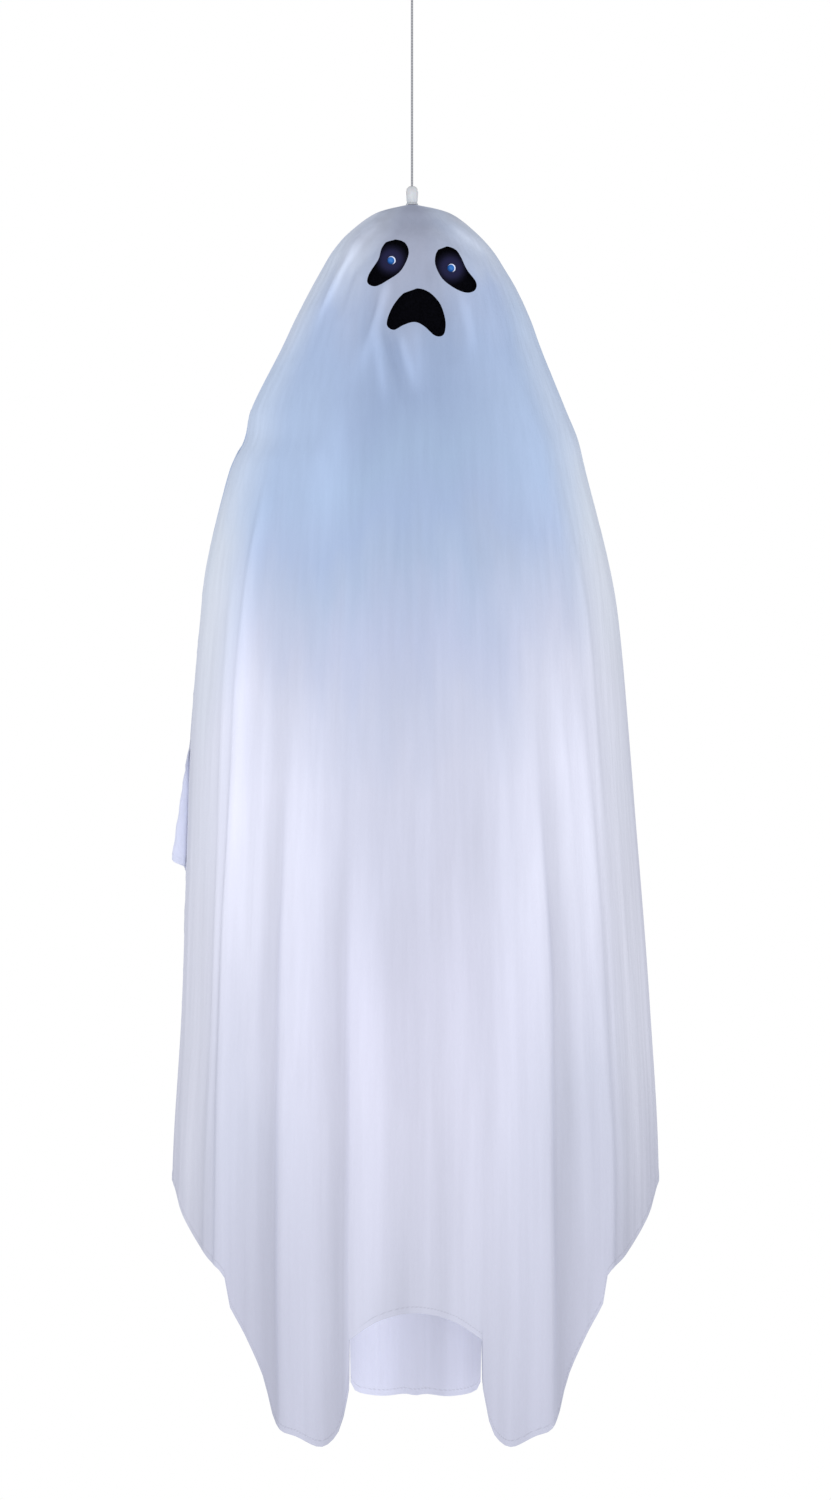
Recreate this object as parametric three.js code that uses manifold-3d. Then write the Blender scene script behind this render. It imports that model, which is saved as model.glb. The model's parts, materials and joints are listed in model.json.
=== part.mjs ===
// Animated hanging ghost: a cloth shroud over a head form and a shoulder hoop, with lit eyes and a
// lit chest. It hangs on a cord by a spindle, and a gearmotor in the head turns the whole ghost
// about that spindle.
// Millimetres, +Z up. The origin is where the top ring hangs, and the ghost faces -Y.
// Below the crown, heights are given as drops: millimetres down from the shroud's top edge.
import * as THREE from "three";
import { mergeVertices } from "three/addons/utils/BufferGeometryUtils.js";
import Module from "manifold-3d";

const wasm = await Module();
wasm.setup();

// Sides given to round forms
const SIDES = 18;
const SMALL_SIDES = 12;
const THIN_SIDES = 8;

// Fits
const TOUCH = 0.3; // between faces that rest on each other
const RUNNING = 0.35; // round a shaft or pin that turns, and beside a part that slides

const OVERRUN = 1; // how far joined shapes run into each other, and cut-outs past a face

// Hanging line
const RING_BORE = 20;
const RING_WIRE = 3;
const CORD = 3;
const CORD_FREE = 239; // from the ferrule's top to the crimp sleeve
const LOOP_RADIUS = 6;
const LOOP_STEPS = 18;
const LOOP_DROP = 20; // from the middle of the loop's round top to the sleeve
const SLEEVE_LENGTH = 12;
const SLEEVE_WALL = 1.5;
const FERRULE = 15.4;
const FERRULE_TAPER = 0.7; // how much thinner its lower end is, each side
const FERRULE_LENGTH = 21;
const FERRULE_DOME = 5;
const CORD_SOCKET = 9;
const SPINDLE_SOCKET = 9;
const CROSS_PIN = 2;

// Spindle and drive in the head, as drops
const SPINDLE = 6;
const SPINDLE_TAIL = 2; // how far it reaches out of the cover
const BUSH_WALL = 2;
const BUSH_FLANGE = 15;
const BUSH_FLANGE_THICKNESS = 1.2;
const BUSH_LENGTH = 9;
const HOUSING_DROP = 38;
const HOUSING_WALL = 2.5;
const HOUSING_RADIUS = 41; // inside
const HOUSING_DEPTH = 21; // inside
const HOUSING_FLANGE = 6; // how far it stands out to be clamped by the head shells
const BEARING_BOSS = 8; // above the housing's top
const WASHER = 15;
const WASHER_THICKNESS = 1;
const COLLAR = 16; // the spindle's own flange, which carries the ghost
const COLLAR_THICKNESS = 2;
const CLIP = 12;
const CLIP_THICKNESS = 1.2;
const CLIP_GROOVE = 0.6;
const GEAR_MODULE = 1.25;
const GEAR_TEETH = 36;
const PINION_TEETH = 12;
const TOOTH_ROOT = 0.36; // half its width at the root, as a share of the pitch
const TOOTH_TIP = 0.1;
const TOOTH_DEPTH = 1.1; // below the pitch circle, in modules
const TOOTH_HEIGHT = 0.85;
const GEAR_FACE = 8;
const GEAR_HUB = 14;
const GEAR_HUB_LENGTH = 4;
const PINION_HUB = 9;
const PINION_HUB_LENGTH = 4;
const GEAR_BACKLASH = 0.15; // added to the centre distance
const COVER_THICKNESS = 2;
const MOTOR_SHAFT = 3;
const MOTOR_SHAFT_SEAT = 10; // length inside the gearbox
const GEARBOX = 24;
const GEARBOX_LENGTH = 28;
const MOTOR_CAN = 20;
const MOTOR_CAN_LENGTH = 20;
const MOTOR_SPIGOT = 8; // round boss that seats the gearbox in the cover

// Screws: shank and head diameters, and head height
const SCREW = 3;
const SCREW_HEAD = 5.6;
const SCREW_HEAD_HEIGHT = 2;
const SCREW_BITE = 10;

// Cloth shroud. Each station is a drop, the half widths on the ghost's right (-X) and left (+X),
// and the half depth.
const CLOTH = 2;
const COLUMN = 7.5; // degrees between the shroud's columns
const STATIONS = [
  [8, 38, 40, 33],
  [18, 57, 59, 50],
  [38, 81, 82, 74],
  [58, 98, 100, 89],
  [78, 110, 113, 98],
  [105, 125, 129, 106],
  [178, 161, 159, 118],
  [252, 198, 189, 127],
  [289, 205, 204, 131],
  [326, 223, 213, 134],
  [437, 251, 241, 142],
  [511, 260, 254, 147],
  [659, 272, 268, 155],
  [843, 279, 283, 166],
  [1201, 294, 303, 185],
  [1530, 292, 300, 185],
];
// Ridges of the hanging folds: degrees round from the front, height and half width in degrees
const FOLDS = [
  [-52, 9, 8],
  [-31, 9, 7],
  [-14, 8, 6],
  [12, 6, 9],
  [33, 9, 8],
  [55, 8, 8],
  [118, 9, 8],
  [142, 8, 8],
  [165, 9, 8],
  [190, 8, 8],
  [214, 9, 8],
  [240, 8, 8],
];
const FOLD_START = 460;
const FOLD_FULL = 950;

// Hem outlines from the middle to the side: distance from the hem's centre line, and drop
const HEM_CENTRE = 4.5;
const FRONT_HEM_MIDDLE = [
  [0, 1348],
  [45, 1358],
  [80, 1381],
];
const FRONT_LOBE = [
  [81, 1440],
  [90, 1485],
  [103, 1505],
  [118, 1510],
  [144, 1498],
  [163, 1491],
  [173, 1472],
  [184, 1428],
  [206, 1379],
  [228, 1338],
  [232, 1308],
  [256, 1284],
  [284, 1240],
  [299, 1200],
  [330, 1160],
];
const BACK_HEM_MIDDLE = [
  [0, 1484],
  [14, 1482],
  [40, 1485],
  [66, 1482],
  [79, 1475],
  [82, 1464],
];
const BACK_HEM_SIDE = [
  [82, 1400],
  [130, 1385],
  [190, 1345],
  [245, 1275],
  [299, 1192],
  [330, 1150],
];

// Second layer of cloth over the back, whose corner stands out on the ghost's right
const CAPE_FROM = 105; // degrees round from the front
const CAPE_TO = 270;
const CAPE_TOP = 252;
const CAPE_SIDE_DROP = 806;
const CAPE_HEM_DIP = 32; // how far the middle of its hem hangs below its sides
const CAPE_LOOSE = 5; // how far its hem hangs clear of the shroud
const CAPE_FLARE = 17;
const CAPE_FLARE_START = 460;
const CAPE_FLARE_SPREAD = 22; // degrees

// Face: cut-out outlines as X and drop. The ghost's own right side is at -X.
const RIGHT_EYE = [
  [-20, 49],
  [-8, 54],
  [-4, 68],
  [-13, 88],
  [-28, 98],
  [-44, 105.5],
  [-54, 101],
  [-52, 90],
  [-41, 73],
  [-37, 60],
  [-30, 51],
];
const LEFT_EYE = [
  [42, 57.5],
  [53, 61],
  [59, 69.5],
  [66, 85],
  [78, 99.5],
  [77, 109],
  [68, 113],
  [55, 109.5],
  [38, 98],
  [29, 82],
  [29, 70],
  [34, 61],
];
const MOUTH = [
  [4, 108.5],
  [18, 113],
  [32, 124.5],
  [38, 138],
  [40.5, 153],
  [38, 165],
  [28, 166],
  [14, 154.5],
  [3, 150],
  [-10, 153.5],
  [-22, 159],
  [-30, 153],
  [-27, 138],
  [-20, 125],
  [-9, 113.5],
];
const EYE_LIGHTS = [
  ["right", -25, 75],
  ["left", 48, 84],
];
const LINER = 0.8; // black mesh behind the cut-outs
const LINER_FROM = -45; // degrees
const LINER_TO = 60;
const LINER_TOP = 38; // drops
const LINER_BOTTOM = 178;

// Head form, moulded in a front and a back shell
const HEAD_WALL = 2.5;
const HEAD_COLUMNS = 3; // the cloth's columns to each of the head's
const HEAD_TURN = 172; // where the form starts to close in to the neck
const HEAD_BASE = 208;
const NECK_WALL = 4;
const NECK_TOP = 152;
const NECK_BOTTOM = 234;
const NECK_BOLT = 5;
const NECK_BOLT_HEAD = 9;
const NECK_BOLT_HEAD_HEIGHT = 3.5;
const NECK_BOLT_DROP = 222;
const HEAD_SCREW_X = 92;
const HEAD_SCREW_DROP = 124;
const HEAD_SCREW_SEAT = 12; // behind the joint between the shells
const LEDGE_RADIUS = 44.5;
const LEDGE_TOP = 33;
const LEDGE_BOTTOM = 46;
const EYE_LIGHT = 10;
const EYE_LIGHT_LENGTH = 20;
const HOLDER = 16;
const HOLDER_LENGTH = 18;
const HOLDER_BACK_WALL = 3;
const HOLDER_BEHIND = 6; // its front behind the head's surface
const HOLDER_PROUD = 6; // how far it stands out of its boss, inside the head
const BOSS_WALL = 2;
const SPEAKER = 40;
const SPEAKER_LENGTH = 12;
const SPEAKER_MAGNET = 22;
const SPEAKER_MAGNET_LENGTH = 8;
const SPEAKER_X = 6;
const SPEAKER_DROP = 139;
const SPEAKER_HOLE = 30;
const SPEAKER_BEHIND = 4.5;

// Frame inside the cloth
const POST = 25;
const POST_BORE = 21;
const POST_TOP = 156;
const CABLE = 4;
const CABLE_TOP = 148;
const HUB = 44;
const HUB_DROP = 254;
const HUB_HEIGHT = 16;
const ARM = 4;
const ARM_STEPS = 8;
const ARM_SEAT = 7;
const ARM_STRAIGHT = 6; // out of the hub before it starts to curve down
const ARM_BEND = [0.6, 0.4]; // shares of the way out and down at which it bends towards the hoop
const HOOP = 4;
const HOOP_SIDES = 6;
const HOOP_DROP = 277;
const HOOP_CLIP = 9;

// Chest light
const LIGHT_BELOW_HUB = 24;
const LIGHT = 76;
const LIGHT_COLLAR_WALL = 3.2;
const LIGHT_COLLAR_HEIGHT = 12;
const LIGHT_CAP = 3;
const LIGHT_BOARD = 1.6;
const LIGHT_CHIPS = 8;
const LIGHT_CHIP = 5;
const LIGHT_CHIP_HEIGHT = 1.4;
const DIFFUSER_WALL = 2;
const DIFFUSER_LENGTH = 92;
const LIGHT_CATCH = 6; // height of the collar under the diffuser

// Control box
const BOX_BELOW_LIGHT = 32.9; // from the light's lower collar to the top edge of its walls
const BOX_WIDTH = 94;
const BOX_DEPTH = 56;
const BOX_HEIGHT = 90;
const BOX_WALL = 2;
const BOX_FLOOR = 2.5;
const LID = 2.5;
const LID_COLLAR = 15;
const BAY_WALL = 2;
const CELL = 14.5;
const CELL_LENGTH = 50;
const CELL_TIP = [5.5, 1]; // diameter, and height above the can
const CELLS = 3;
const CELL_PITCH = 15.2;
const CONTACT = 1;
const BAY_SHELF = 3;
const BAY_BELOW = 14; // from the box's floor to the bay's lower shelf
const CELL_BACK_GAP = 2; // between the cells and the door
const CONTACT_EDGE = 2; // how far the contacts stay clear of the bay's sides
const BOARD = 1.6;
const BOARD_STANDOFF = 10;
const BOARD_CLEAR = 1; // between its edges and the walls
const RIB = 3; // how far the ribs reach under the board
const HEADER = [18, 7, 2.5]; // plug on the board for the post's cable
const CONTROL_Y = -17; // of the switch and the button
const SWITCH = [12, 6]; // its case on the board
const SWITCH_STEM_TOP = 3.5; // above the box's floor
const KNOB_X = -15;
const KNOB_TRAVEL = 4;
const KNOB_STEM = 3;
const KNOB = 7;
const KNOB_HEIGHT = 3;
const BUTTON_X = 15;
const BUTTON = 8;
const BUTTON_TRAVEL = 2;
const BUTTON_PROUD = 4;
const BUTTON_RIM = 1.2;
const SENSOR = 9.7;
const SENSOR_LENGTH = 6;
const SENSOR_DROP = 38; // below the box's top edge
const DOOR = 2;
const DOOR_LAP = 2; // how far the door covers the wall round its opening
const DOOR_BARREL = 4.6;
const DOOR_PIN = 2;
const LUG = 4;
const DOOR_SCREW_LENGTH = 5;

// Places worked out from the sizes above
const loopMiddle = -RING_BORE + TOUCH + CORD / 2 - LOOP_RADIUS;
const sleeveTop = loopMiddle - LOOP_DROP;
const sleeveBottom = sleeveTop - SLEEVE_LENGTH;
const ferruleTop = sleeveBottom - CORD_FREE;
const ferruleBottom = ferruleTop - FERRULE_LENGTH;
const lightBottom = LIGHT_COLLAR_HEIGHT + LIGHT_CAP + TOUCH + DIFFUSER_LENGTH; // below the light's own top
const screwBoss = SCREW_HEAD + BOSS_WALL;
const lightDrop = HUB_DROP + HUB_HEIGHT / 2 + LIGHT_BELOW_HUB;
const boxDrop = lightDrop + lightBottom + TOUCH + LIGHT_CATCH + BOX_BELOW_LIGHT;
const crown = ferruleBottom - RUNNING - BUSH_FLANGE_THICKNESS - TOUCH;

const finish = (color, roughness, metalness = 0) =>
  new THREE.MeshStandardMaterial({ color, roughness, metalness });
const FINISH = {
  cloth: finish("#dfe2ee", 0.9),
  mesh: finish("#0e0e15", 0.95),
  paleAbs: finish("#e3e4e8", 0.4),
  headAbs: finish("#d9dadd", 0.55),
  blackAbs: finish("#1b1b1e", 0.5),
  greyAbs: finish("#b9bcc4", 0.5),
  acetal: finish("#f2f0e8", 0.35),
  steel: finish("#b8babd", 0.3, 1),
  cord: finish("#d6d7db", 0.5),
  blueLed: finish("#2a60a3", 0.15),
  frosted: finish("#dcebfb", 0.6),
  laminate: finish("#1f6a3c", 0.5),
  cell: finish("#2c2d31", 0.35, 0.4),
  nickel: finish("#c9c6bd", 0.3, 1),
  cable: finish("#26262a", 0.5),
};

// Geometry with shared vertices, no collapsed triangles, and faces that point outwards
function tidied(geometry) {
  const bare = new THREE.BufferGeometry();
  bare.setAttribute("position", geometry.getAttribute("position"));
  bare.setIndex(geometry.index);
  const merged = mergeVertices(bare, 1e-3);
  const point = (i) => new THREE.Vector3().fromBufferAttribute(merged.attributes.position, i);
  const faces = [];
  let volume = 0;
  for (let i = 0; i < merged.index.count; i += 3) {
    const face = [0, 1, 2].map((k) => merged.index.getX(i + k));
    if (new Set(face).size < 3) continue;
    const [a, b, c] = face.map(point);
    volume += a.dot(b.cross(c));
    faces.push(face);
  }
  merged.setIndex(faces.flatMap((face) => (volume < 0 ? face.reverse() : face)));
  return merged;
}

function toSolid(geometry) {
  const { attributes, index } = tidied(geometry);
  const vertProperties = new Float32Array(attributes.position.array);
  const triVerts = new Uint32Array(index.array);
  return new wasm.Manifold(new wasm.Mesh({ numProp: 3, vertProperties, triVerts }));
}

function toGeometry(solid) {
  const { numProp, vertProperties, triVerts } = solid.getMesh();
  const geometry = new THREE.BufferGeometry();
  const positions = new Float32Array((vertProperties.length / numProp) * 3);
  for (let i = 0; i < positions.length / 3; i++) {
    positions.set(vertProperties.subarray(i * numProp, i * numProp + 3), i * 3);
  }
  geometry.setAttribute("position", new THREE.BufferAttribute(positions, 3));
  geometry.setIndex(new THREE.BufferAttribute(triVerts, 1));
  return geometry;
}

const join = (...pieces) => toGeometry(pieces.map(toSolid).reduce((a, b) => a.add(b)));
const overlap = (a, b) => toGeometry(toSolid(a).intersect(toSolid(b)));
const cut = (piece, ...tools) =>
  toGeometry(tools.map(toSolid).reduce((a, b) => a.subtract(b), toSolid(piece)));

// A round bar from one point to another
function rod(diameter, from, to, sides = SMALL_SIDES) {
  const start = new THREE.Vector3(...from);
  const run = new THREE.Vector3(...to).sub(start);
  const turn = new THREE.Quaternion().setFromUnitVectors(
    new THREE.Vector3(0, 1, 0),
    run.clone().normalize(),
  );
  return new THREE.CylinderGeometry(diameter / 2, diameter / 2, run.length(), sides)
    .translate(0, run.length() / 2, 0)
    .applyQuaternion(turn)
    .translate(start.x, start.y, start.z);
}

// A box between two corners
function block(low, high) {
  const size = low.map((value, i) => high[i] - value);
  const middle = low.map((value, i) => (high[i] + value) / 2);
  return new THREE.BoxGeometry(...size).translate(...middle);
}

// A body turned about Z from a profile of radius and height
function turned(profile, sides = SIDES) {
  const points = profile.map(([radius, height]) => new THREE.Vector2(radius, height));
  return new THREE.LatheGeometry(points, sides).rotateX(Math.PI / 2);
}

// A ring turned about Z: a rectangle between two radii and two heights
const washer = (inner, outer, low, high) =>
  turned([[inner, low], [outer, low], [outer, high], [inner, high], [inner, low]]);

// An outline in X and Z given thickness along Y
const sliceY = (shape, from, to, curveSegments = 2) =>
  new THREE.ExtrudeGeometry(shape, { depth: to - from, bevelEnabled: false, curveSegments })
    .rotateX(Math.PI / 2)
    .translate(0, to, 0);

// A skin over closed rings of points, either capped at both ends or joined end to end
function skinned(rings, endless = false) {
  const around = rings[0].length;
  const positions = rings.flat().flatMap((p) => [p.x, p.y, p.z]);
  const faces = [];
  const strips = endless ? rings.length : rings.length - 1;
  for (let i = 0; i < strips; i++) {
    for (let j = 0; j < around; j++) {
      const a = i * around + j;
      const b = i * around + ((j + 1) % around);
      const c = ((i + 1) % rings.length) * around + ((j + 1) % around);
      const d = ((i + 1) % rings.length) * around + j;
      faces.push(a, b, c, a, c, d);
    }
  }
  if (!endless) {
    [0, rings.length - 1].forEach((row) => {
      const middle = rings[row].reduce((sum, p) => sum.add(p), new THREE.Vector3()).divideScalar(around);
      const hub = positions.length / 3;
      positions.push(middle.x, middle.y, middle.z);
      for (let j = 0; j < around; j++) {
        const pair = [row * around + j, row * around + ((j + 1) % around)];
        faces.push(hub, ...(row === 0 ? pair.reverse() : pair));
      }
    });
  }
  const geometry = new THREE.BufferGeometry();
  geometry.setAttribute("position", new THREE.Float32BufferAttribute(positions, 3));
  geometry.setIndex(faces);
  return geometry;
}

// A sheet between two grids of points, its outer and its inner face, closed round its edges
function sheet(outer, inner) {
  const columns = outer[0].length;
  const rings = outer.map((row, i) => [...row, ...inner[i].toReversed()]);
  const around = columns * 2;
  const positions = rings.flat().flatMap((p) => [p.x, p.y, p.z]);
  const faces = [];
  for (let i = 0; i < rings.length - 1; i++) {
    for (let j = 0; j < around; j++) {
      const a = i * around + j;
      const b = i * around + ((j + 1) % around);
      const slant = j < columns ? [a, b, b + around, a + around] : [b, b + around, a + around, a];
      const [p, q, r, t] = slant;
      faces.push(p, q, r, p, r, t);
    }
  }
  [0, rings.length - 1].forEach((row) => {
    for (let j = 0; j < columns - 1; j++) {
      const quad = [j, j + 1, around - 2 - j, around - 1 - j].map((k) => row * around + k);
      const [a, b, c, d] = row === 0 ? quad.reverse() : quad;
      faces.push(a, b, c, a, c, d);
    }
  });
  const geometry = new THREE.BufferGeometry();
  geometry.setAttribute("position", new THREE.Float32BufferAttribute(positions, 3));
  geometry.setIndex(faces);
  return geometry;
}

// A section swept along a path with square ends
function swept(path, section, steps) {
  return new THREE.ExtrudeGeometry(section, { steps, extrudePath: path, bevelEnabled: false });
}

function roundSection(diameter, sides) {
  const corners = Array.from({ length: sides }, (_, i) => {
    const angle = (2 * Math.PI * i) / sides;
    return new THREE.Vector2(Math.cos(angle), Math.sin(angle)).multiplyScalar(diameter / 2);
  });
  return new THREE.Shape(corners);
}

const smoothPath = (points) =>
  new THREE.CatmullRomCurve3(points.map((p) => new THREE.Vector3(...p)), false, "centripetal");

function piece(group, name, geometry, material) {
  const mesh = new THREE.Mesh(tidied(geometry), material);
  mesh.name = name;
  mesh.geometry.computeVertexNormals();
  group.add(mesh);
}

// A screw whose head's underside is at the given point and whose shank runs along the direction
function screw(at, direction, shank, head, headHeight, length) {
  const seat = new THREE.Vector3(...at);
  const along = new THREE.Vector3(...direction);
  const end = (distance) => seat.clone().addScaledVector(along, distance).toArray();
  return join(rod(shank, end(-headHeight / 2), end(length), THIN_SIDES), rod(head, end(-headHeight), at));
}

// The cloth's form. Its top edge lies just outside the crown bush.
const crownHole = SPINDLE / 2 + RUNNING + BUSH_WALL + TOUCH;
const FORM = [[0, crownHole, crownHole, crownHole], ...STATIONS];

// The form moved inwards by a distance, square to its profile
function inset(distance) {
  return FORM.map(([drop, right, left, depth], i) => {
    const above = FORM[Math.max(i - 1, 0)];
    const below = FORM[Math.min(i + 1, FORM.length - 1)];
    const size = ([, ...reaches]) => reaches.reduce((sum, reach) => sum + reach) / reaches.length;
    const lean = Math.atan2(size(below) - size(above), below[0] - above[0]);
    const inwards = i === 0 ? 0 : distance * Math.cos(lean);
    return [drop + distance * Math.sin(lean), right - inwards, left - inwards, depth - inwards];
  });
}

const smoothstep = (from, to, value) => {
  const t = Math.min(Math.max((value - from) / (to - from), 0), 1);
  return t * t * (3 - 2 * t);
};

// How far the folds stand out from the form at an angle round from the front
function foldHeight(angle, drop) {
  const height = FOLDS.reduce((sum, [ridge, high, wide]) => {
    const away = ((((angle - ridge) % 360) + 540) % 360) - 180;
    return sum + high * Math.exp(-((away / wide) ** 2));
  }, 0);
  return height * smoothstep(FOLD_START, FOLD_FULL, drop);
}

function stationPoint(form, index, angle, standOff) {
  const [drop, right, left, depth] = form[index];
  const turn = THREE.MathUtils.degToRad(angle);
  const point = new THREE.Vector3(
    (Math.sin(turn) < 0 ? right : left) * Math.sin(turn),
    -depth * Math.cos(turn),
    0,
  );
  const reach = point.length();
  point.multiplyScalar((reach + foldHeight(angle, FORM[index][0]) + standOff) / reach);
  return point.setZ(-drop);
}

// A point on the form, which runs straight from each station to the next
function formPoint(form, drop, angle, standOff = 0) {
  const last = FORM.findLastIndex(([level]) => level <= drop);
  const index = Math.min(last, FORM.length - 2);
  const share = (drop - FORM[index][0]) / (FORM[index + 1][0] - FORM[index][0]);
  const above = stationPoint(form, index, angle, standOff);
  return above.lerp(stationPoint(form, index + 1, angle, standOff), share);
}

// Angles from one to another in the shroud's columns
const columns = (from, to) => {
  const count = Math.round((to - from) / COLUMN);
  return Array.from({ length: count + 1 }, (_, i) => from + ((to - from) * i) / count);
};

// Y of a form's front surface at an X and a drop
function frontOf(form, x, drop) {
  const half = Math.abs(formPoint(form, drop, x < 0 ? -90 : 90).x);
  return formPoint(form, drop, THREE.MathUtils.radToDeg(Math.asin(x / half))).y;
}

const smoothLoop = (points) => {
  const corners = points.map(([x, drop]) => new THREE.Vector2(x, -drop));
  const shape = new THREE.Shape();
  shape.moveTo(corners[0].x, corners[0].y);
  shape.splineThru([...corners.slice(1), corners[0]]);
  return shape;
};

// Everything below a hem, which is the same on both sides of its centre line
function belowHem(middle, side) {
  const place = (points, hand) => points.map(([x, drop]) => new THREE.Vector2(HEM_CENTRE + hand * x, -drop));
  const half = (hand) => [place(middle.slice(1), hand), place(side, hand)];
  const [rightMiddle, rightSide] = half(-1);
  const [leftMiddle, leftSide] = half(1);
  const shape = new THREE.Shape();
  const start = rightSide.at(-1);
  shape.moveTo(start.x, start.y);
  shape.splineThru(rightSide.toReversed().slice(1));
  shape.lineTo(rightMiddle.at(-1).x, rightMiddle.at(-1).y);
  shape.splineThru([...rightMiddle.toReversed().slice(1), ...place(middle.slice(0, 1), 1), ...leftMiddle]);
  shape.lineTo(leftSide[0].x, leftSide[0].y);
  shape.splineThru(leftSide.slice(1));
  const floor = -2 * FORM.at(-1)[0];
  shape.lineTo(leftSide.at(-1).x, floor);
  shape.lineTo(start.x, floor);
  return shape;
}

// Half of the shroud, from one side seam to the other
function shroudHalf(from, to, hem) {
  const rows = FORM.map((_, i) => i);
  const face = (form) => rows.map((i) => columns(from, to).map((angle) => stationPoint(form, i, angle, 0)));
  const facing = from < 0 ? -1 : 1;
  const reach = FORM.at(-1)[3] * 2 * facing;
  const below = sliceY(hem, Math.min(reach, 0) - CLOTH, Math.max(reach, 0) + CLOTH, 1);
  return cut(sheet(face(inset(0)), face(inset(CLOTH))), below).translate(0, (facing * TOUCH) / 2, 0);
}

function addShroud(group) {
  const frontDepth = FORM.at(-1)[3] * 2;
  const holes = [RIGHT_EYE, LEFT_EYE, MOUTH].map((outline) => sliceY(smoothLoop(outline), -frontDepth, 0));
  const front = shroudHalf(-90, 90, belowHem(FRONT_HEM_MIDDLE, FRONT_LOBE));
  piece(group, "shroud_front", cut(front, ...holes), FINISH.cloth);
  const back = shroudHalf(90, 270, belowHem(BACK_HEM_MIDDLE, BACK_HEM_SIDE));
  piece(group, "shroud_back", back, FINISH.cloth);

  const angles = columns(CAPE_FROM, CAPE_TO);
  const levels = STATIONS.map(([drop]) => drop).filter((drop) => drop >= CAPE_TOP && drop < CAPE_SIDE_DROP);
  const hemAt = (angle) => {
    const share = (angle - CAPE_FROM) / (CAPE_TO - CAPE_FROM);
    return CAPE_SIDE_DROP + CAPE_HEM_DIP * Math.sqrt(Math.sin(Math.PI * share));
  };
  const capeFace = (proud) =>
    [...levels, null].map((level) =>
      angles.map((angle) => {
        const drop = level ?? hemAt(angle);
        const corner = Math.exp(-(((CAPE_TO - angle) / CAPE_FLARE_SPREAD) ** 2));
        const flare = CAPE_FLARE * corner * smoothstep(CAPE_FLARE_START, CAPE_SIDE_DROP, drop);
        const loose = CAPE_LOOSE * smoothstep(CAPE_TOP, CAPE_SIDE_DROP, drop);
        return formPoint(inset(0), drop, angle, proud + flare + loose);
      }),
    );
  const cape = sheet(capeFace(TOUCH * 2 + CLOTH), capeFace(TOUCH * 2)).translate(0, TOUCH, 0);
  piece(group, "back_cape", cape, FINISH.cloth);

  const inLiner = ([drop]) => drop >= LINER_TOP && drop <= LINER_BOTTOM;
  const linerRows = FORM.map((_, i) => i).filter((i) => inLiner(FORM[i]));
  const linerFace = (form) =>
    linerRows.map((i) => columns(LINER_FROM, LINER_TO).map((angle) => stationPoint(form, i, angle, 0)));
  const patch = sheet(linerFace(inset(CLOTH + TOUCH)), linerFace(inset(CLOTH + TOUCH + LINER)));
  const eyeHoles = EYE_LIGHTS.map(([, x, drop]) =>
    rod(EYE_LIGHT + 2 * TOUCH, [x, -frontDepth, -drop], [x, 0, -drop]),
  );
  piece(group, "face_liner", cut(patch, ...eyeHoles).translate(0, -TOUCH / 2, 0), FINISH.mesh);
}

// The head's form at an inset: the cloth's form down to the turn, then closing in to the neck
const neckRadius = POST / 2 + TOUCH + NECK_WALL;
function headForm(distance) {
  const form = inset(distance);
  const angles = columns(-180, 180).filter((_, i) => i % HEAD_COLUMNS === 0).slice(0, -1);
  const stations = FORM.map(([drop], i) => [drop, i]).filter(([drop]) => drop < HEAD_TURN);
  const rings = stations.map(([, i]) => angles.map((angle) => stationPoint(form, i, angle, 0)));
  const turn = angles.map((angle) => formPoint(form, HEAD_TURN, angle));
  const height = HEAD_BASE - HEAD_TURN - Math.max(distance - headInset, 0);
  [0, 30, 60, 90].forEach((degrees) => {
    const t = THREE.MathUtils.degToRad(degrees);
    rings.push(
      turn.map((point) => {
        const reach = Math.hypot(point.x, point.y);
        const radius = neckRadius + (reach - neckRadius) * Math.cos(t);
        return new THREE.Vector3(
          (point.x * radius) / reach,
          (point.y * radius) / reach,
          turn[0].z - height * Math.sin(t),
        );
      }),
    );
  });
  return skinned(rings);
}
const headInset = CLOTH + LINER + 2 * TOUCH;

// Drive: levels below the crown
const housingTop = -HOUSING_DROP;
const housingCeiling = housingTop - HOUSING_WALL;
const washerTop = housingCeiling - TOUCH;
const collarTop = washerTop - WASHER_THICKNESS - TOUCH;
const gearHubTop = collarTop - COLLAR_THICKNESS - TOUCH;
const gearTop = gearHubTop - GEAR_HUB_LENGTH;
const gearBottom = gearTop - GEAR_FACE;
const clipTop = gearBottom - TOUCH;
const coverTop = housingCeiling - HOUSING_DEPTH - TOUCH;
const coverBottom = coverTop - COVER_THICKNESS;
const motorTop = coverBottom - TOUCH;
const gearRadius = (GEAR_MODULE * GEAR_TEETH) / 2;
const pinionRadius = (GEAR_MODULE * PINION_TEETH) / 2;
const motorY = gearRadius + pinionRadius + GEAR_BACKLASH;

// Straight-flanked teeth round a pitch circle, turned by a share of one tooth. Each corner of a tooth
// is a share of the pitch and a height in modules.
function toothedWheel(teeth, phase) {
  const pitch = (GEAR_MODULE * teeth) / 2;
  const profile = [
    [-TOOTH_ROOT, -TOOTH_DEPTH],
    [-TOOTH_TIP, TOOTH_HEIGHT],
    [TOOTH_TIP, TOOTH_HEIGHT],
    [TOOTH_ROOT, -TOOTH_DEPTH],
  ];
  const corners = [];
  for (let tooth = 0; tooth < teeth; tooth++) {
    profile.forEach(([share, height]) => {
      const angle = (2 * Math.PI * (tooth + phase + share)) / teeth + Math.PI / 2;
      const radius = pitch + height * GEAR_MODULE;
      corners.push(new THREE.Vector2(radius * Math.cos(angle), radius * Math.sin(angle)));
    });
  }
  return new THREE.Shape(corners);
}

function prism(shape, low, high) {
  const extrusion = { depth: high - low, bevelEnabled: false, curveSegments: SMALL_SIDES / 2 };
  return new THREE.ExtrudeGeometry(shape, extrusion).translate(0, 0, low);
}

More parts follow.
